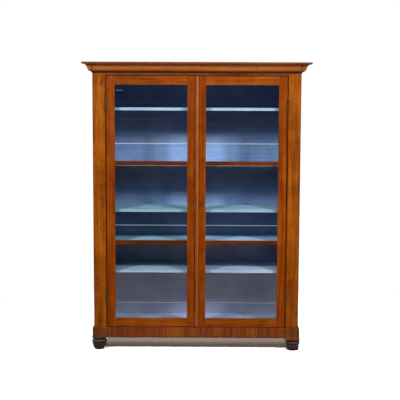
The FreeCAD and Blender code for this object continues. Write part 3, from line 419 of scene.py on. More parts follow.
def litAndShadedCornice(finish, base):
    # Painted shade on the cornice's fillet and along its foot, and painted light in the hollow under the
    # fillet
    z = finish.parts()[2]
    base = finish.mix(z.near(*corniceLightAndShade["hollow"]), base, corniceLightAndShade["hollowLight"])
    base = finish.mix(z.between(*corniceLightAndShade["fillet"]), base, corniceLightAndShade["filletShade"], "MULTIPLY")
    return finish.mix(z.near(*corniceLightAndShade["foot"]) * corniceLightAndShade["footShade"], base, wood["grimeAndShade"])


def highlightedBead(finish, base):
    # A painted highlight along the right side of the bead's crown
    x = finish.parts()[0]
    patchy = finish.noise(finish.place((1, 1, 0.1), 8), beadHighlight["patches"], 4, 0.6).between(0.2, 0.6)
    share = x.near(*beadHighlight["crown"]) * patchy.spread(*beadHighlight["patchiness"])
    return finish.mix(share, base, beadHighlight["crownHighlight"])


def lightAndDarkBlock(finish, base):
    # Painted light on the right block near its lower end, and the block darker along its top
    x, z = finish.parts()[::2]
    patchy = finish.noise(finish.place((1, 1, 2), 21), blockLightAndDark["patches"], 4, 0.6).between(0.35, 0.6)
    share = z.near(*blockLightAndDark["scuffAndLight"]) * x.above(0) * patchy * blockLightAndDark["lowLightShare"]
    base = finish.mix(share, base, blockLightAndDark["lowLightTone"])
    return finish.mix(z.near(*blockLightAndDark["top"]) * blockLightAndDark["topDarkening"], base, wood["grimeAndShade"])


extras = {"cornice": litAndShadedCornice, "bead": highlightedBead, "block": lightAndDarkBlock}


def stainedWood(name, grain, stops, seed, contrast=1.0, sheen=0.2, inside=(), extra=None):
    finish = Finish(name)
    dark, middle, light = stops
    plain = finish.place(seed=seed)
    cloud = finish.noise(plain, wood["figure"], 4, 0.55, 0.6)
    streak = finish.noise(finish.place(stretched(grain, 0.06), seed), wood["streaks"], 6, 0.6, 0.8)
    thread = finish.noise(finish.place(stretched(grain, 0.03), seed + 40), wood["threads"], 3, 0.6, 0.4)
    fine = finish.noise(finish.place(stretched(grain, 0.02), seed), wood["pores"], 2, 0.6)
    swings = [(noise - 0.5) * share for noise, share in zip((streak, cloud, thread), wood["shares"])]
    tone = (sum(swings[1:], swings[0]) * (wood["swing"] * contrast) + 0.5).clamped()
    base = finish.ramp(tone, [(0.08, dark), (0.5, middle), (0.92, light)])
    pores = fine.between(0.56, 0.7)
    base = finish.mix(pores * wood["poreShare"], base, tuple(c * 0.35 for c in dark))
    speck = finish.noise(finish.place(stretched(grain, 0.6), seed), wood["specks"], 2, 0.5)
    base = finish.mix(speck.between(0.66, 0.74) * wood["speckShare"], base, wood["grimeAndShade"])
    rounded, edge = finish.wornEdge(wood["wear"])
    rubbed = edge * finish.noise(plain, wood["wearPatches"], 3).between(0.35, 0.6) * wood["wearShare"]
    base = finish.mix(rubbed, base, tuple(min(c * 1.4 + 0.01, 1) for c in light))
    if extra:
        base = extra(finish, base)
    # Dirt and painted shade along the front's gaps and arrises
    base = finish.mix(grimeAndShadeMask(finish) * wood["grimeAndShadeShare"], base, wood["grimeAndShade"])
    rough = (streak * 0.5 + cloud * 0.5).spread(*wood["roughness"]) + pores * 0.1
    height = fine * 0.5 + streak * 0.3 + thread * 0.2
    if inside:
        coat, coatRough, coatHeight = paintCoat(finish, grain, paint["boards"], seed)
        x, z = finish.parts()[::2]
        share = sum((finish.facing(way) for way in inside[1:]), finish.facing(inside[0]))
        share = share * (1 - x.math("ABSOLUTE").above(wood["paintedWidth"])) * z.above(wood["paintedFrom"])
        base = finish.mix(share, base, coat)
        rough = rough * (1 - share) + coatRough * share
        height = height * (1 - share) + coatHeight * share
    finish.surface({"Base Color": base, "Roughness": rough, "Specular IOR Level": sheen,
                    "Normal": finish.bump(height, wood["grainDepth"], 0.6, rounded)})
    return finish.owner


# Darkest, middle and lightest of each kind of board, its contrast and its sheen. The tones are partly
# painted light and shade, set for how bright each kind of board looks where it stands
tones = {
    "pilaster": (colour(98, 39, 0), colour(143, 71, 4), colour(182, 101, 14), 1.0, 0.1),
    "stile": (colour(92, 34, 0), colour(132, 57, 1), colour(164, 82, 6), 1.0, 0.1),
    "doorRail": (colour(100, 41, 0), colour(143, 67, 5), colour(174, 93, 18), 1.0, 0.1),
    "bar": (colour(62, 21, 1), colour(93, 39, 4), colour(126, 58, 10), 1.1, 0.15),
    "bead": (colour(100, 42, 4), colour(140, 66, 12), colour(172, 92, 24), 0.9, 0.15),
    "cornice": (colour(124, 62, 14), colour(168, 94, 32), colour(204, 126, 52), 0.75, 0.3),
    "rail": (colour(70, 31, 5), colour(108, 55, 10), colour(140, 77, 20), 1.0, 0.2),
    "block": (colour(76, 32, 8), colour(114, 56, 18), colour(146, 77, 30), 1.1, 0.2),
    "side": (colour(86, 36, 4), colour(132, 66, 10), colour(162, 90, 24), 1.1, 0.15),
}

# Each stained board's grain, kind of tone and the ways its painted faces look
boards = {
    "front_top_rail": ("across", "rail", ((0, 1, 0),)),
    "top_board": ("across", "side", ((0, 0, -1),)),
    "cornice_front": ("across", "cornice", ()),
    "cornice_left": ("deep", "cornice", ()),
    "cornice_right": ("deep", "cornice", ()),
    "astragal": ("up", "bead", ()),
}
for side, inward in (("left", 1), ("right", -1)):
    wall = (inward, 0, 0)
    boards[f"front_post_{side}"] = ("up", "pilaster", ((0, 1, 0),))
    boards[f"plinth_block_{side}"] = ("up", "block", ())
    boards[f"rear_post_{side}"] = ("up", "side", (wall, (0, -1, 0)))
    boards[f"side_panel_{side}"] = ("up", "side", (wall,))
    boards[f"side_bottom_rail_{side}"] = ("deep", "side", (wall,))
    boards[f"side_top_rail_{side}"] = ("deep", "side", (wall,))
    boards[f"{side}_hinge_stile"] = ("up", "stile", ())
    boards[f"{side}_meeting_stile"] = ("up", "stile", ())
    boards[f"{side}_top_rail"] = ("across", "doorRail", ())
    boards[f"{side}_bottom_rail"] = ("across", "doorRail", ())
    boards[f"{side}_upper_bar"] = ("across", "bar", ())
    boards[f"{side}_lower_bar"] = ("across", "bar", ())
    boards[f"{side}_glazing_beads"] = ("up", "bar", ())
for seed, (nodeName, (grain, tone, inside)) in enumerate(boards.items(), start=1):
    contrast, sheen = tones[tone][3:]
    dress(nodeName, stainedWood(f"wood_{nodeName}", grain, tones[tone][:3], seed, contrast, sheen,
                                inside, extras.get(tone)))
print("stained boards:", len(boards))


banding = {
    "joints": (-0.573, -0.471, -0.28, -0.205, -0.082, 0.034, 0.068, 0.116, 0.191, 0.246, 0.307, 0.341,
               0.423, 0.491),
    "jointWidth": 0.0060,
    "chance": (3.7, 0.3),           # steps the dice from block to block
    "streaks": 60.0,
    "clouds": 14.0,
    "swings": (1.2, 0.5, 0.32),     # of the tone, by streaks, clouds and block
    "ground": 0.31,
    "paler": 0.12,                  # per metre to the right
    "lowShadeRange": (doorLow.z - 0.0746, doorLow.z - 0.0626),        # painted shade below here
    "tones": (colour(82, 26, 3), colour(128, 57, 7), colour(164, 83, 14)),
    "jointAndShadeTone": colour(30, 9, 4),
    "darkShares": (0.95, 0.55, 0.8),                            # in the joints, and as painted shade low down and at the top
    "roughness": (0.4, 0.55),
}


def crossBanding():
    # Upright blocks of veneer, each with its own tone
    finish = Finish("cross_banding")
    x, z = finish.parts()[::2]
    count = sum((x.above(joint) for joint in banding["joints"]), 0 * x)
    step, start = banding["chance"]
    white = finish.node("ShaderNodeTexWhiteNoise", {"noise_dimensions": "1D"}, {"W": count * step + start})
    block = Value(finish, white.outputs["Value"])
    seam = sum((x.near(joint, banding["jointWidth"] / 2) for joint in banding["joints"]), 0 * x)
    offset = finish.node("ShaderNodeCombineXYZ", values={0: block * 5, 1: block * 3}).outputs[0]
    shifted = finish.node("ShaderNodeVectorMath", {"operation": "ADD"}, {0: offset, 1: finish.place()})
    coords = shifted.outputs[0]
    upright = finish.node("ShaderNodeMapping", values={"Vector": coords, "Scale": (1, 1, 0.06)}).outputs[0]
    streak = finish.noise(upright, banding["streaks"], 5, 0.6, 0.5)
    cloud = finish.noise(coords, banding["clouds"], 3, 0.5)
    byStreak, byCloud, byBlock = banding["swings"]
    tone = (streak - 0.5) * byStreak + (cloud - 0.5) * byCloud + block * byBlock
    tone = tone + banding["ground"] + x * banding["paler"]
    base = finish.ramp(tone.clamped(), list(zip((0.05, 0.5, 0.95), banding["tones"])))
    # Painted shade on the rail's lower part and along its top under the doors; the joints are dark
    low = 1 - z.between(*banding["lowShadeRange"])
    inJoints, lowDown, atTop = banding["darkShares"]
    shade = (seam * inJoints).larger(low * lowDown).larger(z.near(*grimeAndShade["belowDoors"][:2]) * atTop)
    base = finish.mix(shade.clamped(), base, banding["jointAndShadeTone"])
    rough = (streak * 0.6 + cloud * 0.4).spread(*banding["roughness"])
    finish.surface({"Base Color": base, "Roughness": rough, "Specular IOR Level": 0.3,
                    "Normal": finish.bump(streak - seam * 2, 0.0002, 0.5)})
    return finish.owner


dress("front_bottom_rail", crossBanding())


feet = {
    "tones": (colour(18, 5, 2), colour(36, 12, 7), colour(58, 25, 17)),
    "streaks": 14.0,
    "scuffs": 42.0,
    "rubbed": colour(92, 58, 46),
    "rubShare": 0.4,
    "shadeAndSheen": colour(122, 98, 96),                    # painted sheen on what looks up
    "roughness": (0.3, 0.5),
    "grooves": ((0.0735,), (0.0640, 0.0400)),       # heights of the left and the right foot's
    "grooveReach": 0.005,
    "grooveShadeTone": colour(14, 5, 3),
    "grooveShadeShare": 0.9,
}


def ebonised():
    finish = Finish("ebonised")
    x, z = finish.parts()[::2]
    streak = finish.noise(finish.place((1, 1, 6)), feet["streaks"], 5, 0.6, 0.4)
    scuffAndLight = finish.noise(finish.place(), feet["scuffs"], 4, 0.7)
    base = finish.ramp((streak * 0.7 + scuffAndLight * 0.3).clamped(), list(zip((0.25, 0.5, 0.8), feet["tones"])))
    base = finish.mix(scuffAndLight.between(0.62, 0.74) * feet["rubShare"], base, feet["rubbed"])
    # Painted sheen: what looks up is paler, for the highlight from the lamps above
    up = finish.parts(finish.node("ShaderNodeNewGeometry").outputs["Normal"])[2]
    base = finish.mix(up.between(-0.1, 0.6) * scuffAndLight.spread(0.2, 0.8), base, feet["shadeAndSheen"])
    # Painted shade in the grooves
    onLeft, onRight = [sum((z.near(height, feet["grooveReach"]) for height in heights), 0 * z)
                       for heights in feet["grooves"]]
    grooveShade = onLeft * (1 - x.above(0)) + onRight * x.above(0)
    base = finish.mix(grooveShade.clamped() * feet["grooveShadeShare"], base, feet["grooveShadeTone"])
    finish.surface({"Base Color": base, "Roughness": scuffAndLight.spread(*feet["roughness"]),
                    "Specular IOR Level": 0.3,
                    "Normal": finish.bump(streak * 0.5 + scuffAndLight * 0.5, 0.0003, 0.5)})
    return finish.owner


turning = {
    "centre": (sum(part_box("front_foot_right"), Vector()) / 2).xy,
    "sides": 64,
    "steps": 6,             # points between two of the profile's own, whose gaps grow at most threefold
    "weld": 0.00001,
    # radius and height of the profile, from the floor up
    "left": ((0.0290, 0.00005), (0.0332, 0.0040), (0.0385, 0.0130), (0.0445, 0.0280), (0.0485, 0.0450),
             (0.0505, 0.0580), (0.0495, 0.0655), (0.0430, 0.0695), (0.0392, 0.0725), (0.0392, 0.0770),
             (0.0490, 0.0795), (0.0512, 0.0850), (0.0508, 0.0895), (0.0490, 0.0920)),
    "right": ((0.0368, 0.00005), (0.0396, 0.0030), (0.0415, 0.0100), (0.0432, 0.0220), (0.0434, 0.0330),
              (0.0400, 0.0385), (0.0405, 0.0412), (0.0475, 0.0436), (0.0498, 0.0500), (0.0488, 0.0575),
              (0.0425, 0.0612), (0.0396, 0.0635), (0.0402, 0.0664), (0.0484, 0.0684), (0.0500, 0.0730),
              (0.0494, 0.0770), (0.0476, 0.0794)),
}


def lathe():
    # A vertical line of profile points, each with its radius, swept by a circle
    tree = bpy.data.node_groups.new("lathe", "GeometryNodeTree")
    for label, kind in (("Profile", "Geometry"), ("Sides", "Int"), ("Steps", "Int"), ("Finish", "Material")):
        tree.interface.new_socket(name=label, in_out="INPUT", socket_type=f"NodeSocket{kind}")
    tree.interface.new_socket(name="Geometry", in_out="OUTPUT", socket_type="NodeSocketGeometry")
    graph = Graph(tree)
    given = graph.node("NodeGroupInput").outputs
    line = graph.node("GeometryNodeMeshToCurve", values={0: given["Profile"]}).outputs[0]
    smooth = graph.node("GeometryNodeCurveSplineType", {"spline_type": "CATMULL_ROM"}, {0: line}).outputs[0]
    fine = graph.node("GeometryNodeSetSplineResolution", values={"Geometry": smooth,
                                                                 "Resolution": given["Steps"]}).outputs[0]
    width = graph.node("GeometryNodeInputNamedAttribute", {"data_type": "FLOAT"}, {"Name": "turnedRadius"})
    shaped = graph.node("GeometryNodeSetCurveRadius", values={"Curve": fine, "Radius": width.outputs[0]})
    ring = graph.node("GeometryNodeCurvePrimitiveCircle", {"mode": "RADIUS"},
                      {"Resolution": given["Sides"], "Radius": 1.0})
    values = {"Curve": shaped.outputs[0], "Profile Curve": ring.outputs[0], "Scale": width.outputs[0],
              "Fill Caps": True}
    turned = graph.node("GeometryNodeCurveToMesh", values=values)
    solid = graph.node("GeometryNodeRealizeInstances", values={0: turned.outputs[0]})
    done = graph.node("GeometryNodeSetMaterial", values={"Geometry": solid.outputs[0],
                                                         "Material": given["Finish"]})
    graph.node("NodeGroupOutput", values={0: done.outputs[0]})
    return tree


def plainMesh(piece, tree, inputs):
    # Runs the tree on the piece and keeps what it makes as the piece's own mesh
    modifier = piece.modifiers.new("maker", "NODES")
    modifier.node_group = tree
    for socket in tree.interface.items_tree:
        if socket.name in inputs:
            modifier[socket.identifier] = inputs[socket.name]
    evaluated = piece.evaluated_get(bpy.context.evaluated_depsgraph_get())
    mesh = bpy.data.meshes.new_from_object(evaluated)
    piece.modifiers.remove(modifier)
    piece.data = mesh


def turnFoot(side, way, tree, material):
    x, y = turning["centre"]
    profile = turning[side]
    mesh = bpy.data.meshes.new(f"turned_foot_{side}")
    mesh.from_pydata([(way * x, y, height) for radius, height in profile],
                     [(index, index + 1) for index in range(len(profile) - 1)], [])
    radii = mesh.attributes.new("turnedRadius", "FLOAT", "POINT")
    for item, (radius, height) in zip(radii.data, profile):
        item.value = radius
    foot = bpy.data.objects.new(f"turned_foot_{side}", mesh)
    bpy.context.collection.objects.link(foot)
    plainMesh(foot, tree, {"Sides": turning["sides"], "Steps": turning["steps"], "Finish": material})
    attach(foot, "carcase")
    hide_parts(f"front_foot_{side}")


def blockOnRing(side):
    # The block above, its lower end on the foot's upper ring
    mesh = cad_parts[f"plinth_block_{side}"].data.copy()
    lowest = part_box(f"plinth_block_{side}")[0].z
    welded = bmesh.new()
    welded.from_mesh(mesh)
    bmesh.ops.remove_doubles(welded, verts=welded.verts, dist=turning["weld"])
    for vertex in welded.verts:
        if vertex.co.z < lowest + turning["weld"]:
            vertex.co.z = turning[side][-1][1]
    welded.to_mesh(mesh)
    welded.free()
    block = bpy.data.objects.new(f"block_on_ring_{side}", mesh)
    bpy.context.collection.objects.link(block)
    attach(block, "carcase")
    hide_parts(f"plinth_block_{side}")


footFinish = ebonised()
footLathe = lathe()
for side, way in (("left", -1), ("right", 1)):
    turnFoot(side, way, footLathe, footFinish)
    blockOnRing(side)
print("feet turned")


glass = {
    "tint": (0.955, 0.975, 0.975),      # what one face lets through
    "faceMirror": 0.036,                # share sent back by one face, seen square on
    "waves": 3.5,                       # per metre
    "waveDepth": 0.0006,
    "smears": 9.0,
    "smearRough": 0.12,
}


def windowGlass(seed):
    # A pane that is clear seen square on and mirrors more and more towards a glancing view
    finish = Finish(f"window_glass_{seed}")
    weight = finish.node("ShaderNodeLayerWeight", values={"Blend": 0.5})
    mirror = (Value(finish, weight.outputs["Facing"]) ** 5).spread(glass["faceMirror"], 1)
    wave = finish.noise(finish.place(seed=seed), glass["waves"], 2, 0.4, 0.3)
    smear = finish.noise(finish.place(seed=seed), glass["smears"], 5, 0.65, 0.5).between(0.4, 0.75)
    shine = finish.node("ShaderNodeBsdfPrincipled", values={
        "Base Color": (1, 1, 1), "Metallic": 1.0, "Roughness": smear * glass["smearRough"],
        "Normal": finish.bump(wave, glass["waveDepth"])})
    clear = finish.node("ShaderNodeBsdfTransparent", values={"Color": glass["tint"]})
    both = finish.node("ShaderNodeMixShader", values={0: mirror, 1: clear.outputs[0], 2: shine.outputs[0]})
    finish.tree.links.new(both.outputs[0], finish.output.inputs[0])
    return finish.owner


for seed, pane in enumerate(("top", "middle", "bottom"), start=1):
    dress(f"left_{pane}_pane", windowGlass(seed))
    dress(f"right_{pane}_pane", windowGlass(seed + 3))


# Darkest, middle and brightest of each metal, its roughness and its patches per metre
metals = {
    "hinge_bronze": (colour(44, 36, 18), colour(84, 70, 40), colour(124, 104, 64), (0.4, 0.62), 90.0),
    "lock_iron": (colour(30, 28, 28), colour(62, 57, 54), colour(96, 88, 80), (0.4, 0.65), 90.0),
    "escutcheon_brass": (colour(80, 38, 14), colour(136, 78, 34), colour(176, 112, 58), (0.34, 0.55), 140.0),
    "screw_steel": (colour(52, 48, 44), colour(104, 98, 92), colour(150, 142, 132), (0.3, 0.5), 300.0),
}
tarnish = {
    "finer": 6,             # times the patches, for the pitting
    "wear": 0.0006,         # radius of the rubbed arrises, in metres
    "wearShare": 0.5,
    "depth": 0.00015,
    "metallic": 0.85,
}


def agedMetal(name):
    finish = Finish(name)
    dark, middle, bright, roughness, patches = metals[name]
    patch = finish.noise(finish.place(), patches, 5, 0.65, 0.4)
    fine = finish.noise(finish.place(), patches * tarnish["finer"], 2, 0.5)
    tone = (patch * 0.8 + fine * 0.2).clamped()
    rounded, edge = finish.wornEdge(tarnish["wear"])
    base = finish.ramp(tone, [(0.3, dark), (0.52, middle), (0.75, bright)])
    base = finish.mix(edge * tarnish["wearShare"], base, bright)
    normal = finish.bump(fine * 0.4 + patch * 0.6, tarnish["depth"], 0.5, rounded)
    finish.surface({"Base Color": base, "Roughness": patch.spread(*roughness),
                    "Metallic": tarnish["metallic"], "Normal": normal})
    return finish.owner


hingeBronze = agedMetal("hinge_bronze")
lockIron = agedMetal("lock_iron")
plateBrass = agedMetal("escutcheon_brass")
screwSteel = agedMetal("screw_steel")
for nodeName in ("hinge_frame_leaves", "hinge_pins", "left_hinge_leaves", "right_hinge_leaves"):
    dress(nodeName, hingeBronze)
for nodeName in ("lock_case", "lock_bolt", "top_bolt", "bottom_bolt", "bolt_guides"):
    dress(nodeName, lockIron)
dress("escutcheon", plateBrass)
print("finishes done")


heads = {
    "slotted": (16, 8),         # sides and rings of the ball that makes one
    "plain": (10, 6),
    "bladeLength": 3,           # radii, so that the slot runs right across
}


def fastenerTree(kindOfHead):
    # Domed heads, one on each point and turned to its facing, with or without a driver slot
    tree = bpy.data.node_groups.new(f"{kindOfHead}_heads", "GeometryNodeTree")
    sockets = {"Points": "Geometry", "Radius": "Float", "Rise": "Float", "Slot Width": "Float",
               "Slot Depth": "Float", "Tilt": "Float", "Seed": "Int", "Finish": "Material"}
    for label, kind in sockets.items():
        tree.interface.new_socket(name=label, in_out="INPUT", socket_type=f"NodeSocket{kind}")
    tree.interface.new_socket(name="Geometry", in_out="OUTPUT", socket_type="NodeSocketGeometry")
    graph = Graph(tree)
    given = graph.node("NodeGroupInput").outputs
    rise = Value(graph, given["Rise"])
    sides, rings = heads[kindOfHead]
    ball = graph.node("GeometryNodeMeshUVSphere", values={"Segments": sides, "Rings": rings, "Radius": 1.0})
    size = graph.node("ShaderNodeCombineXYZ", values={0: given["Radius"], 1: given["Radius"], 2: rise})
    head = graph.node("GeometryNodeTransform", values={"Geometry": ball.outputs["Mesh"],
                                                       "Scale": size.outputs[0]}).outputs[0]
    if kindOfHead == "slotted":
        length = Value(graph, given["Radius"]) * heads["bladeLength"]
        cut = graph.node("ShaderNodeCombineXYZ", values={0: length, 1: given["Slot Width"],
                                                         2: Value(graph, given["Slot Depth"]) * 2})
        blade = graph.node("GeometryNodeMeshCube", values={"Size": cut.outputs[0]}).outputs["Mesh"]
        lift = graph.node("ShaderNodeCombineXYZ", values={2: rise}).outputs[0]
        raised = graph.node("GeometryNodeTransform", values={"Geometry": blade, "Translation": lift})
        head = graph.node("GeometryNodeMeshBoolean", {"operation": "DIFFERENCE", "solver": "EXACT"},
                          {"Mesh 1": head, "Mesh 2": raised.outputs[0]}).outputs["Mesh"]
    way = graph.node("GeometryNodeInputNamedAttribute", {"data_type": "FLOAT_VECTOR"}, {"Name": "facing"})
    upright = graph.node("FunctionNodeAlignRotationToVector", {"axis": "Z"}, {"Vector": way.outputs[0]})
    tilt = Value(graph, given["Tilt"])
    least = graph.node("ShaderNodeCombineXYZ", values={0: tilt * -1, 1: tilt * -1, 2: 0.0}).outputs[0]
    most = graph.node("ShaderNodeCombineXYZ", values={0: tilt, 1: tilt, 2: math.tau}).outputs[0]
    chance = graph.node("FunctionNodeRandomValue", {"data_type": "FLOAT_VECTOR"},
                        {0: least, 1: most, "Seed": given["Seed"]})
    turn = graph.node("FunctionNodeEulerToRotation", values={0: chance.outputs[0]})
    driven = graph.node("FunctionNodeRotateRotation", {"rotation_space": "LOCAL"},
                        {0: upright.outputs[0], 1: turn.outputs[0]})
    placed = graph.node("GeometryNodeInstanceOnPoints", values={"Points": given["Points"], "Instance": head,
                                                                "Rotation": driven.outputs[0]})
    solid = graph.node("GeometryNodeRealizeInstances", values={0: placed.outputs[0]})
    done = graph.node("GeometryNodeSetMaterial", values={"Geometry": solid.outputs[0],
                                                         "Material": given["Finish"]})
    graph.node("NodeGroupOutput", values={0: done.outputs[0]})
    return tree


slottedTree = fastenerTree("slotted")
plainTree = fastenerTree("plain")


def makeFasteners(name, body, spots, sizes, material):
    # spots: (place, facing) pairs
    points = bpy.data.meshes.new(name)
    points.from_pydata([place for place, way in spots], [], [])
    facing = points.attributes.new("facing", "FLOAT_VECTOR", "POINT")
    for item, (place, way) in zip(facing.data, spots):
        item.vector = way
    piece = bpy.data.objects.new(name, points)
    bpy.context.collection.objects.link(piece)
    inputs = {"Radius": sizes["radius"], "Rise": sizes["rise"], "Slot Width": sizes.get("slotWidth", 0.0),
              "Slot Depth": sizes.get("slotDepth", 0.0), "Tilt": sizes.get("tilt", 0.0),
              "Seed": sizes["seed"], "Finish": material}
    plainMesh(piece, slottedTree if "slotWidth" in sizes else plainTree, inputs)
    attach(piece, body)


hingeLow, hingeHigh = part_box("hinge_frame_leaves")
leafLength = 0.0684
hingeScrews = {
    "radius": 0.0031, "rise": 0.0005, "slotWidth": 0.0008, "slotDepth": 0.0004, "seed": 4,
    "rows": (0.0105, 0.0342, 0.0579),               # above the leaf's lower end
    "bases": (hingeLow.z, hingeHigh.z - leafLength),
    "depth": hingeHigh.y - 0.008,
    "frameFace": postLow.x, "doorFace": doorHigh.x,
}


def screwHinges():
    s = hingeScrews
    heights = [base + row for base in s["bases"] for row in s["rows"]]
    onFrame = [((side * s["frameFace"], s["depth"], z), (-side, 0, 0)) for side in (-1, 1) for z in heights]
    makeFasteners("hinge_screws_frame", "carcase", onFrame, s, screwSteel)
    for side, door in ((-1, "left_door"), (1, "right_door")):
        onDoor = [((side * s["doorFace"], s["depth"], z), (side, 0, 0)) for z in heights]
        makeFasteners(f"hinge_screws_{door}", door, onDoor, s, screwSteel)


lockLow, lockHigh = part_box("lock_case")
lockScrews = {
    "radius": 0.0024, "rise": 0.0008, "slotWidth": 0.0007, "slotDepth": 0.0005, "seed": 7,
    "across": (lockLow.x + 0.00735, lockHigh.x - 0.00735),
    "up": (lockLow.z + 0.007, lockHigh.z - 0.007),
    "depth": lockHigh.y,
}
guideLow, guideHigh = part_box("bolt_guides")
guideScrews = {
    "radius": 0.002, "rise": 0.0006, "slotWidth": 0.0006, "slotDepth": 0.0004, "seed": 9,
    "across": (guideLow.x + 0.00315, guideHigh.x - 0.00325),
    "up": (guideLow.z + 0.024, guideLow.z + 0.086, guideHigh.z - 0.086, guideHigh.z - 0.024),
    "depth": guideLow.y + 0.0015,                   # the guide's plate
}
plateLow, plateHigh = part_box("escutcheon")
platePins = {
    "radius": 0.0014, "rise": 0.0008, "seed": 2,
    "across": ((plateLow.x + plateHigh.x) / 2,),
    "up": (plateLow.z + 0.004, plateHigh.z - 0.004),
    "depth": plateLow.y,
}


def gridSpots(s, way):
    return [((x, s["depth"], z), way) for x in s["across"] for z in s["up"]]


beadLow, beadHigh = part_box("right_glazing_beads")
beadBrads = {
    "radius": 0.0009, "rise": 0.0003, "seed": 5, "depth": beadHigh.y,
    "edge": 0.00375,                                # from a bead's outside to its middle
    "play": 0.001,                                  # between pane and bead's outside
    "corner": 0.02,                                 # no brad nearer than this to a corner
    "alongCount": 5, "upCount": 3,
}


def pinBeads():
    s = beadBrads
    inner, outer = beadLow.x + s["edge"], beadHigh.x - s["edge"]
    start, length = inner + s["corner"], outer - inner - 2 * s["corner"]
    for side, door in ((-1, "left_door"), (1, "right_door")):
        spots = []
        for pane in ("bottom", "middle", "top"):
            paneLow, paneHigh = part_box(f"right_{pane}_pane")
            low, high = paneLow.z - s["play"], paneHigh.z + s["play"]
            for step in range(s["alongCount"]):
                x = side * (start + length * step / (s["alongCount"] - 1))
                spots += [((x, s["depth"], z), (0, 1, 0)) for z in (low + s["edge"], high - s["edge"])]
            for step in range(s["upCount"]):
                z = low + (high - low) * (step + 0.5) / s["upCount"]
                spots += [((side * x, s["depth"], z), (0, 1, 0)) for x in (inner, outer)]
        makeFasteners(f"bead_brads_{door}", door, spots, s, screwSteel)


backLow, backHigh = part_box("back_boards")
backNails = {
    "radius": 0.003, "rise": 0.0009, "tilt": 0.12, "seed": 12, "depth": backHigh.y,
    "columns": (backLow.x + 0.0075, backHigh.x - 0.0075),
    "spacing": 0.11, "low": backLow.z + 0.032, "high": backHigh.z - 0.025,
    "row": (boardLow.z + boardHigh.z) / 2, "rowReach": 0.56, "rowCount": 9,
}


def nailBack():
    s = backNails
    count = round((s["high"] - s["low"]) / s["spacing"])
    spots = [((x, s["depth"], s["low"] + (s["high"] - s["low"]) * step / count), (0, 1, 0))
             for x in s["columns"] for step in range(count + 1)]
    half = (s["rowCount"] - 1) // 2
    spots += [((s["rowReach"] * step / half, s["depth"], s["row"]), (0, 1, 0))
              for step in range(-half, half + 1)]
    makeFasteners("back_nails", "carcase", spots, s, lockIron)


doorPegs = {
    "radius": 0.0034, "rise": 0.0002, "seed": 3, "depth": doorLow.y,
    # Distance from the middle, and height
    "corners": ((doorHigh.x - 0.0319, doorHigh.z - 0.0181), (0.0410, doorHigh.z - 0.0566),
                (doorHigh.x - 0.0344, doorLow.z + 0.0301), (0.0410, doorLow.z + 0.0364)),
    "woodSeed": 60,
}


def pegDoors():
    pegWood = stainedWood("peg_wood", "deep", tones["bar"][:3], doorPegs["woodSeed"])
    for side, door in ((-1, "left_door"), (1, "right_door")):
        spots = [((side * x, doorPegs["depth"], z), (0, -1, 0)) for x, z in doorPegs["corners"]]
        makeFasteners(f"door_pegs_{door}", door, spots, doorPegs, pegWood)


screwHinges()
makeFasteners("lock_screws", "right_door", gridSpots(lockScrews, (0, 1, 0)),
              lockScrews, screwSteel)
makeFasteners("guide_screws", "left_door", gridSpots(guideScrews, (0, 1, 0)),
              guideScrews, screwSteel)
makeFasteners("escutcheon_pins", "right_door", gridSpots(platePins, (0, -1, 0)),
              platePins, plateBrass)
pinBeads()
nailBack()
pegDoors()
print("screws, nails and pegs done")


studio = {
    "left": -8.0, "right": 8.0, "front": -3.1, "back": 8.0,     # edges of the paper
    "paper": 0.08,
    "seenPaper": 2.6,                   # lit paper is seen white
    "underPaper": (2.5, 2.08, 1.82),    # below the bookcase, where its shade is a warm grey
    "under": (0.70, 0.24),              # half width and half depth of that place
    "underBlur": 0.04,
    "mottle": 55.0,
    "mottleRange": (0.72, 1.28),
    "mirroredPaper": 0.7,
    "fade": (1.1, 2.2),                 # metres from the middle, where the shade gives way to white
    "behind": (-0.1, 0.5),              # from where the sky is mirrored to where it is so in full
    "ambient": 0.015,
}


def makeFloor():
    left, right, front, back = [studio[name] for name in ("left", "right", "front", "back")]
    mesh = bpy.data.meshes.new("floor")
    mesh.from_pydata([(left, front, 0), (right, front, 0), (right, back, 0), (left, back, 0)], [],
                     [(0, 1, 2, 3)])
    floor = bpy.data.objects.new("floor", mesh)
    bpy.context.collection.objects.link(floor)
    finish = Finish("paper_floor")
    path = finish.node("ShaderNodeLightPath").outputs
    seen = (Value(finish, path["Is Camera Ray"]) + Value(finish, path["Is Transmission Ray"])).clamped()
    mirrored = Value(finish, path["Is Glossy Ray"])
    x, y = finish.parts()[:2]
    blur = studio["underBlur"]
    under = 1.0
    for axis, half in zip((x, y), studio["under"]):
        under = (1 - axis.math("ABSOLUTE").between(half - blur, half + blur)) * under
    mottle = finish.noise(finish.place((1, 0.6, 1)), studio["mottle"], 4, 0.65)
    mottle = mottle.between(0.36, 0.64).spread(*studio["mottleRange"])
    grey = finish.node("ShaderNodeCombineColor", values={0: mottle, 1: mottle, 2: mottle}).outputs[0]
    lit = finish.mix(under, (studio["seenPaper"],) * 3, studio["underPaper"])
    lit = finish.mix(under, lit, grey, "MULTIPLY")
    paper = finish.mix(seen, (studio["paper"],) * 3, lit)
    paper = finish.mix(mirrored, paper, (studio["mirroredPaper"],) * 3)
    shaded = finish.node("ShaderNodeBsdfDiffuse", values={"Color": paper})
    plain = finish.node("ShaderNodeEmission", values={"Color": (1, 1, 1), "Strength": 1.0})
    away = finish.node("ShaderNodeVectorMath", {"operation": "LENGTH"}, {0: finish.place()}).outputs["Value"]
    share = Value(finish, away).between(*studio["fade"]) * seen
    both = finish.node("ShaderNodeMixShader", values={0: share, 1: shaded.outputs[0], 2: plain.outputs[0]})
    finish.tree.links.new(both.outputs[0], finish.output.inputs[0])
    mesh.materials.append(finish.owner)


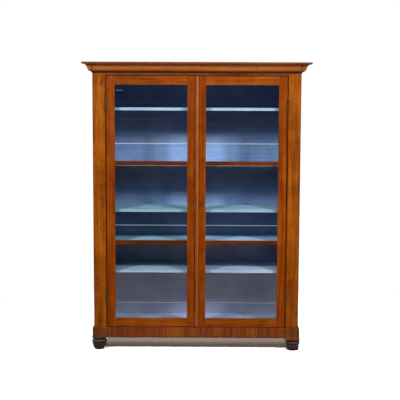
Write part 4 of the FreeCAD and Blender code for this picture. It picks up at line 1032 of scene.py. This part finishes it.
def makeWorld():
    # White where it is looked at, and for what mirrors the side behind the bookcase
    world = bpy.data.worlds.new("studio")
    bpy.context.scene.world = world
    finish = Finish("studio", world)
    path = finish.node("ShaderNodeLightPath").outputs
    way = finish.node("ShaderNodeTexCoord").outputs["Generated"]
    behind = finish.parts(way)[1].between(*studio["behind"])
    white = (Value(finish, path["Is Camera Ray"]) + Value(finish, path["Is Transmission Ray"])
             + Value(finish, path["Is Glossy Ray"]) * behind).clamped()
    glow = finish.node("ShaderNodeBackground", values={"Color": (1, 1, 1),
                                                       "Strength": white.spread(studio["ambient"], 1)})
    finish.tree.links.new(glow.outputs[0], finish.output.inputs[0])


makeFloor()
makeWorld()


# Each lamp's place, the spot it aims at, width, height, watts and tint
lamps = {
    "left": ((-2.83, -3.86, 3.95), (0, 0, 1.0), 0.65, 1.1, 225, (1.0, 0.985, 0.96)),
    "right": ((2.83, -3.86, 3.95), (0, 0, 1.0), 0.65, 1.1, 225, (1.0, 0.985, 0.96)),
    "rear": ((0, 2.6, 0.95), (0, 0, 0.2), 2.2, 1.3, 24, (1.0, 0.96, 0.9)),
}


def makeLamp(name, place, aim, width, height, power, tint):
    data = bpy.data.lights.new(f"lamp_{name}", "AREA")
    data.shape = "RECTANGLE"
    data.size = width
    data.size_y = height
    data.energy = power
    data.color = tint
    lamp = bpy.data.objects.new(f"lamp_{name}", data)
    lamp.location = place
    lamp.rotation_euler = (Vector(aim) - Vector(place)).to_track_quat("-Z", "Y").to_euler()
    bpy.context.collection.objects.link(lamp)


for name, settings in lamps.items():
    makeLamp(name, *settings)


view = {
    "place": (0.0581, -6.5782, 1.728),
    "turn": 0.3036,          # degrees, to the left
    "tilt": 6.163,           # degrees, down
    "roll": 0.2309,
    "focal": 959,            # pixels, in a picture of this width
    "width": 400,
    "sensor": 36.0,
}


def makeCamera():
    data = bpy.data.cameras.new("camera")
    data.sensor_width = view["sensor"]
    data.lens = view["focal"] / view["width"] * view["sensor"]
    camera = bpy.data.objects.new("camera", data)
    camera.matrix_world = (Matrix.Translation(view["place"])
                           @ Matrix.Rotation(math.radians(view["turn"]), 4, "Z")
                           @ Matrix.Rotation(math.radians(90 - view["tilt"]), 4, "X")
                           @ Matrix.Rotation(math.radians(view["roll"]), 4, "Z"))
    bpy.context.collection.objects.link(camera)
    bpy.context.scene.camera = camera


makeCamera()
bpy.context.scene.view_settings.view_transform = "Standard"
print("floor, lamps and camera set")
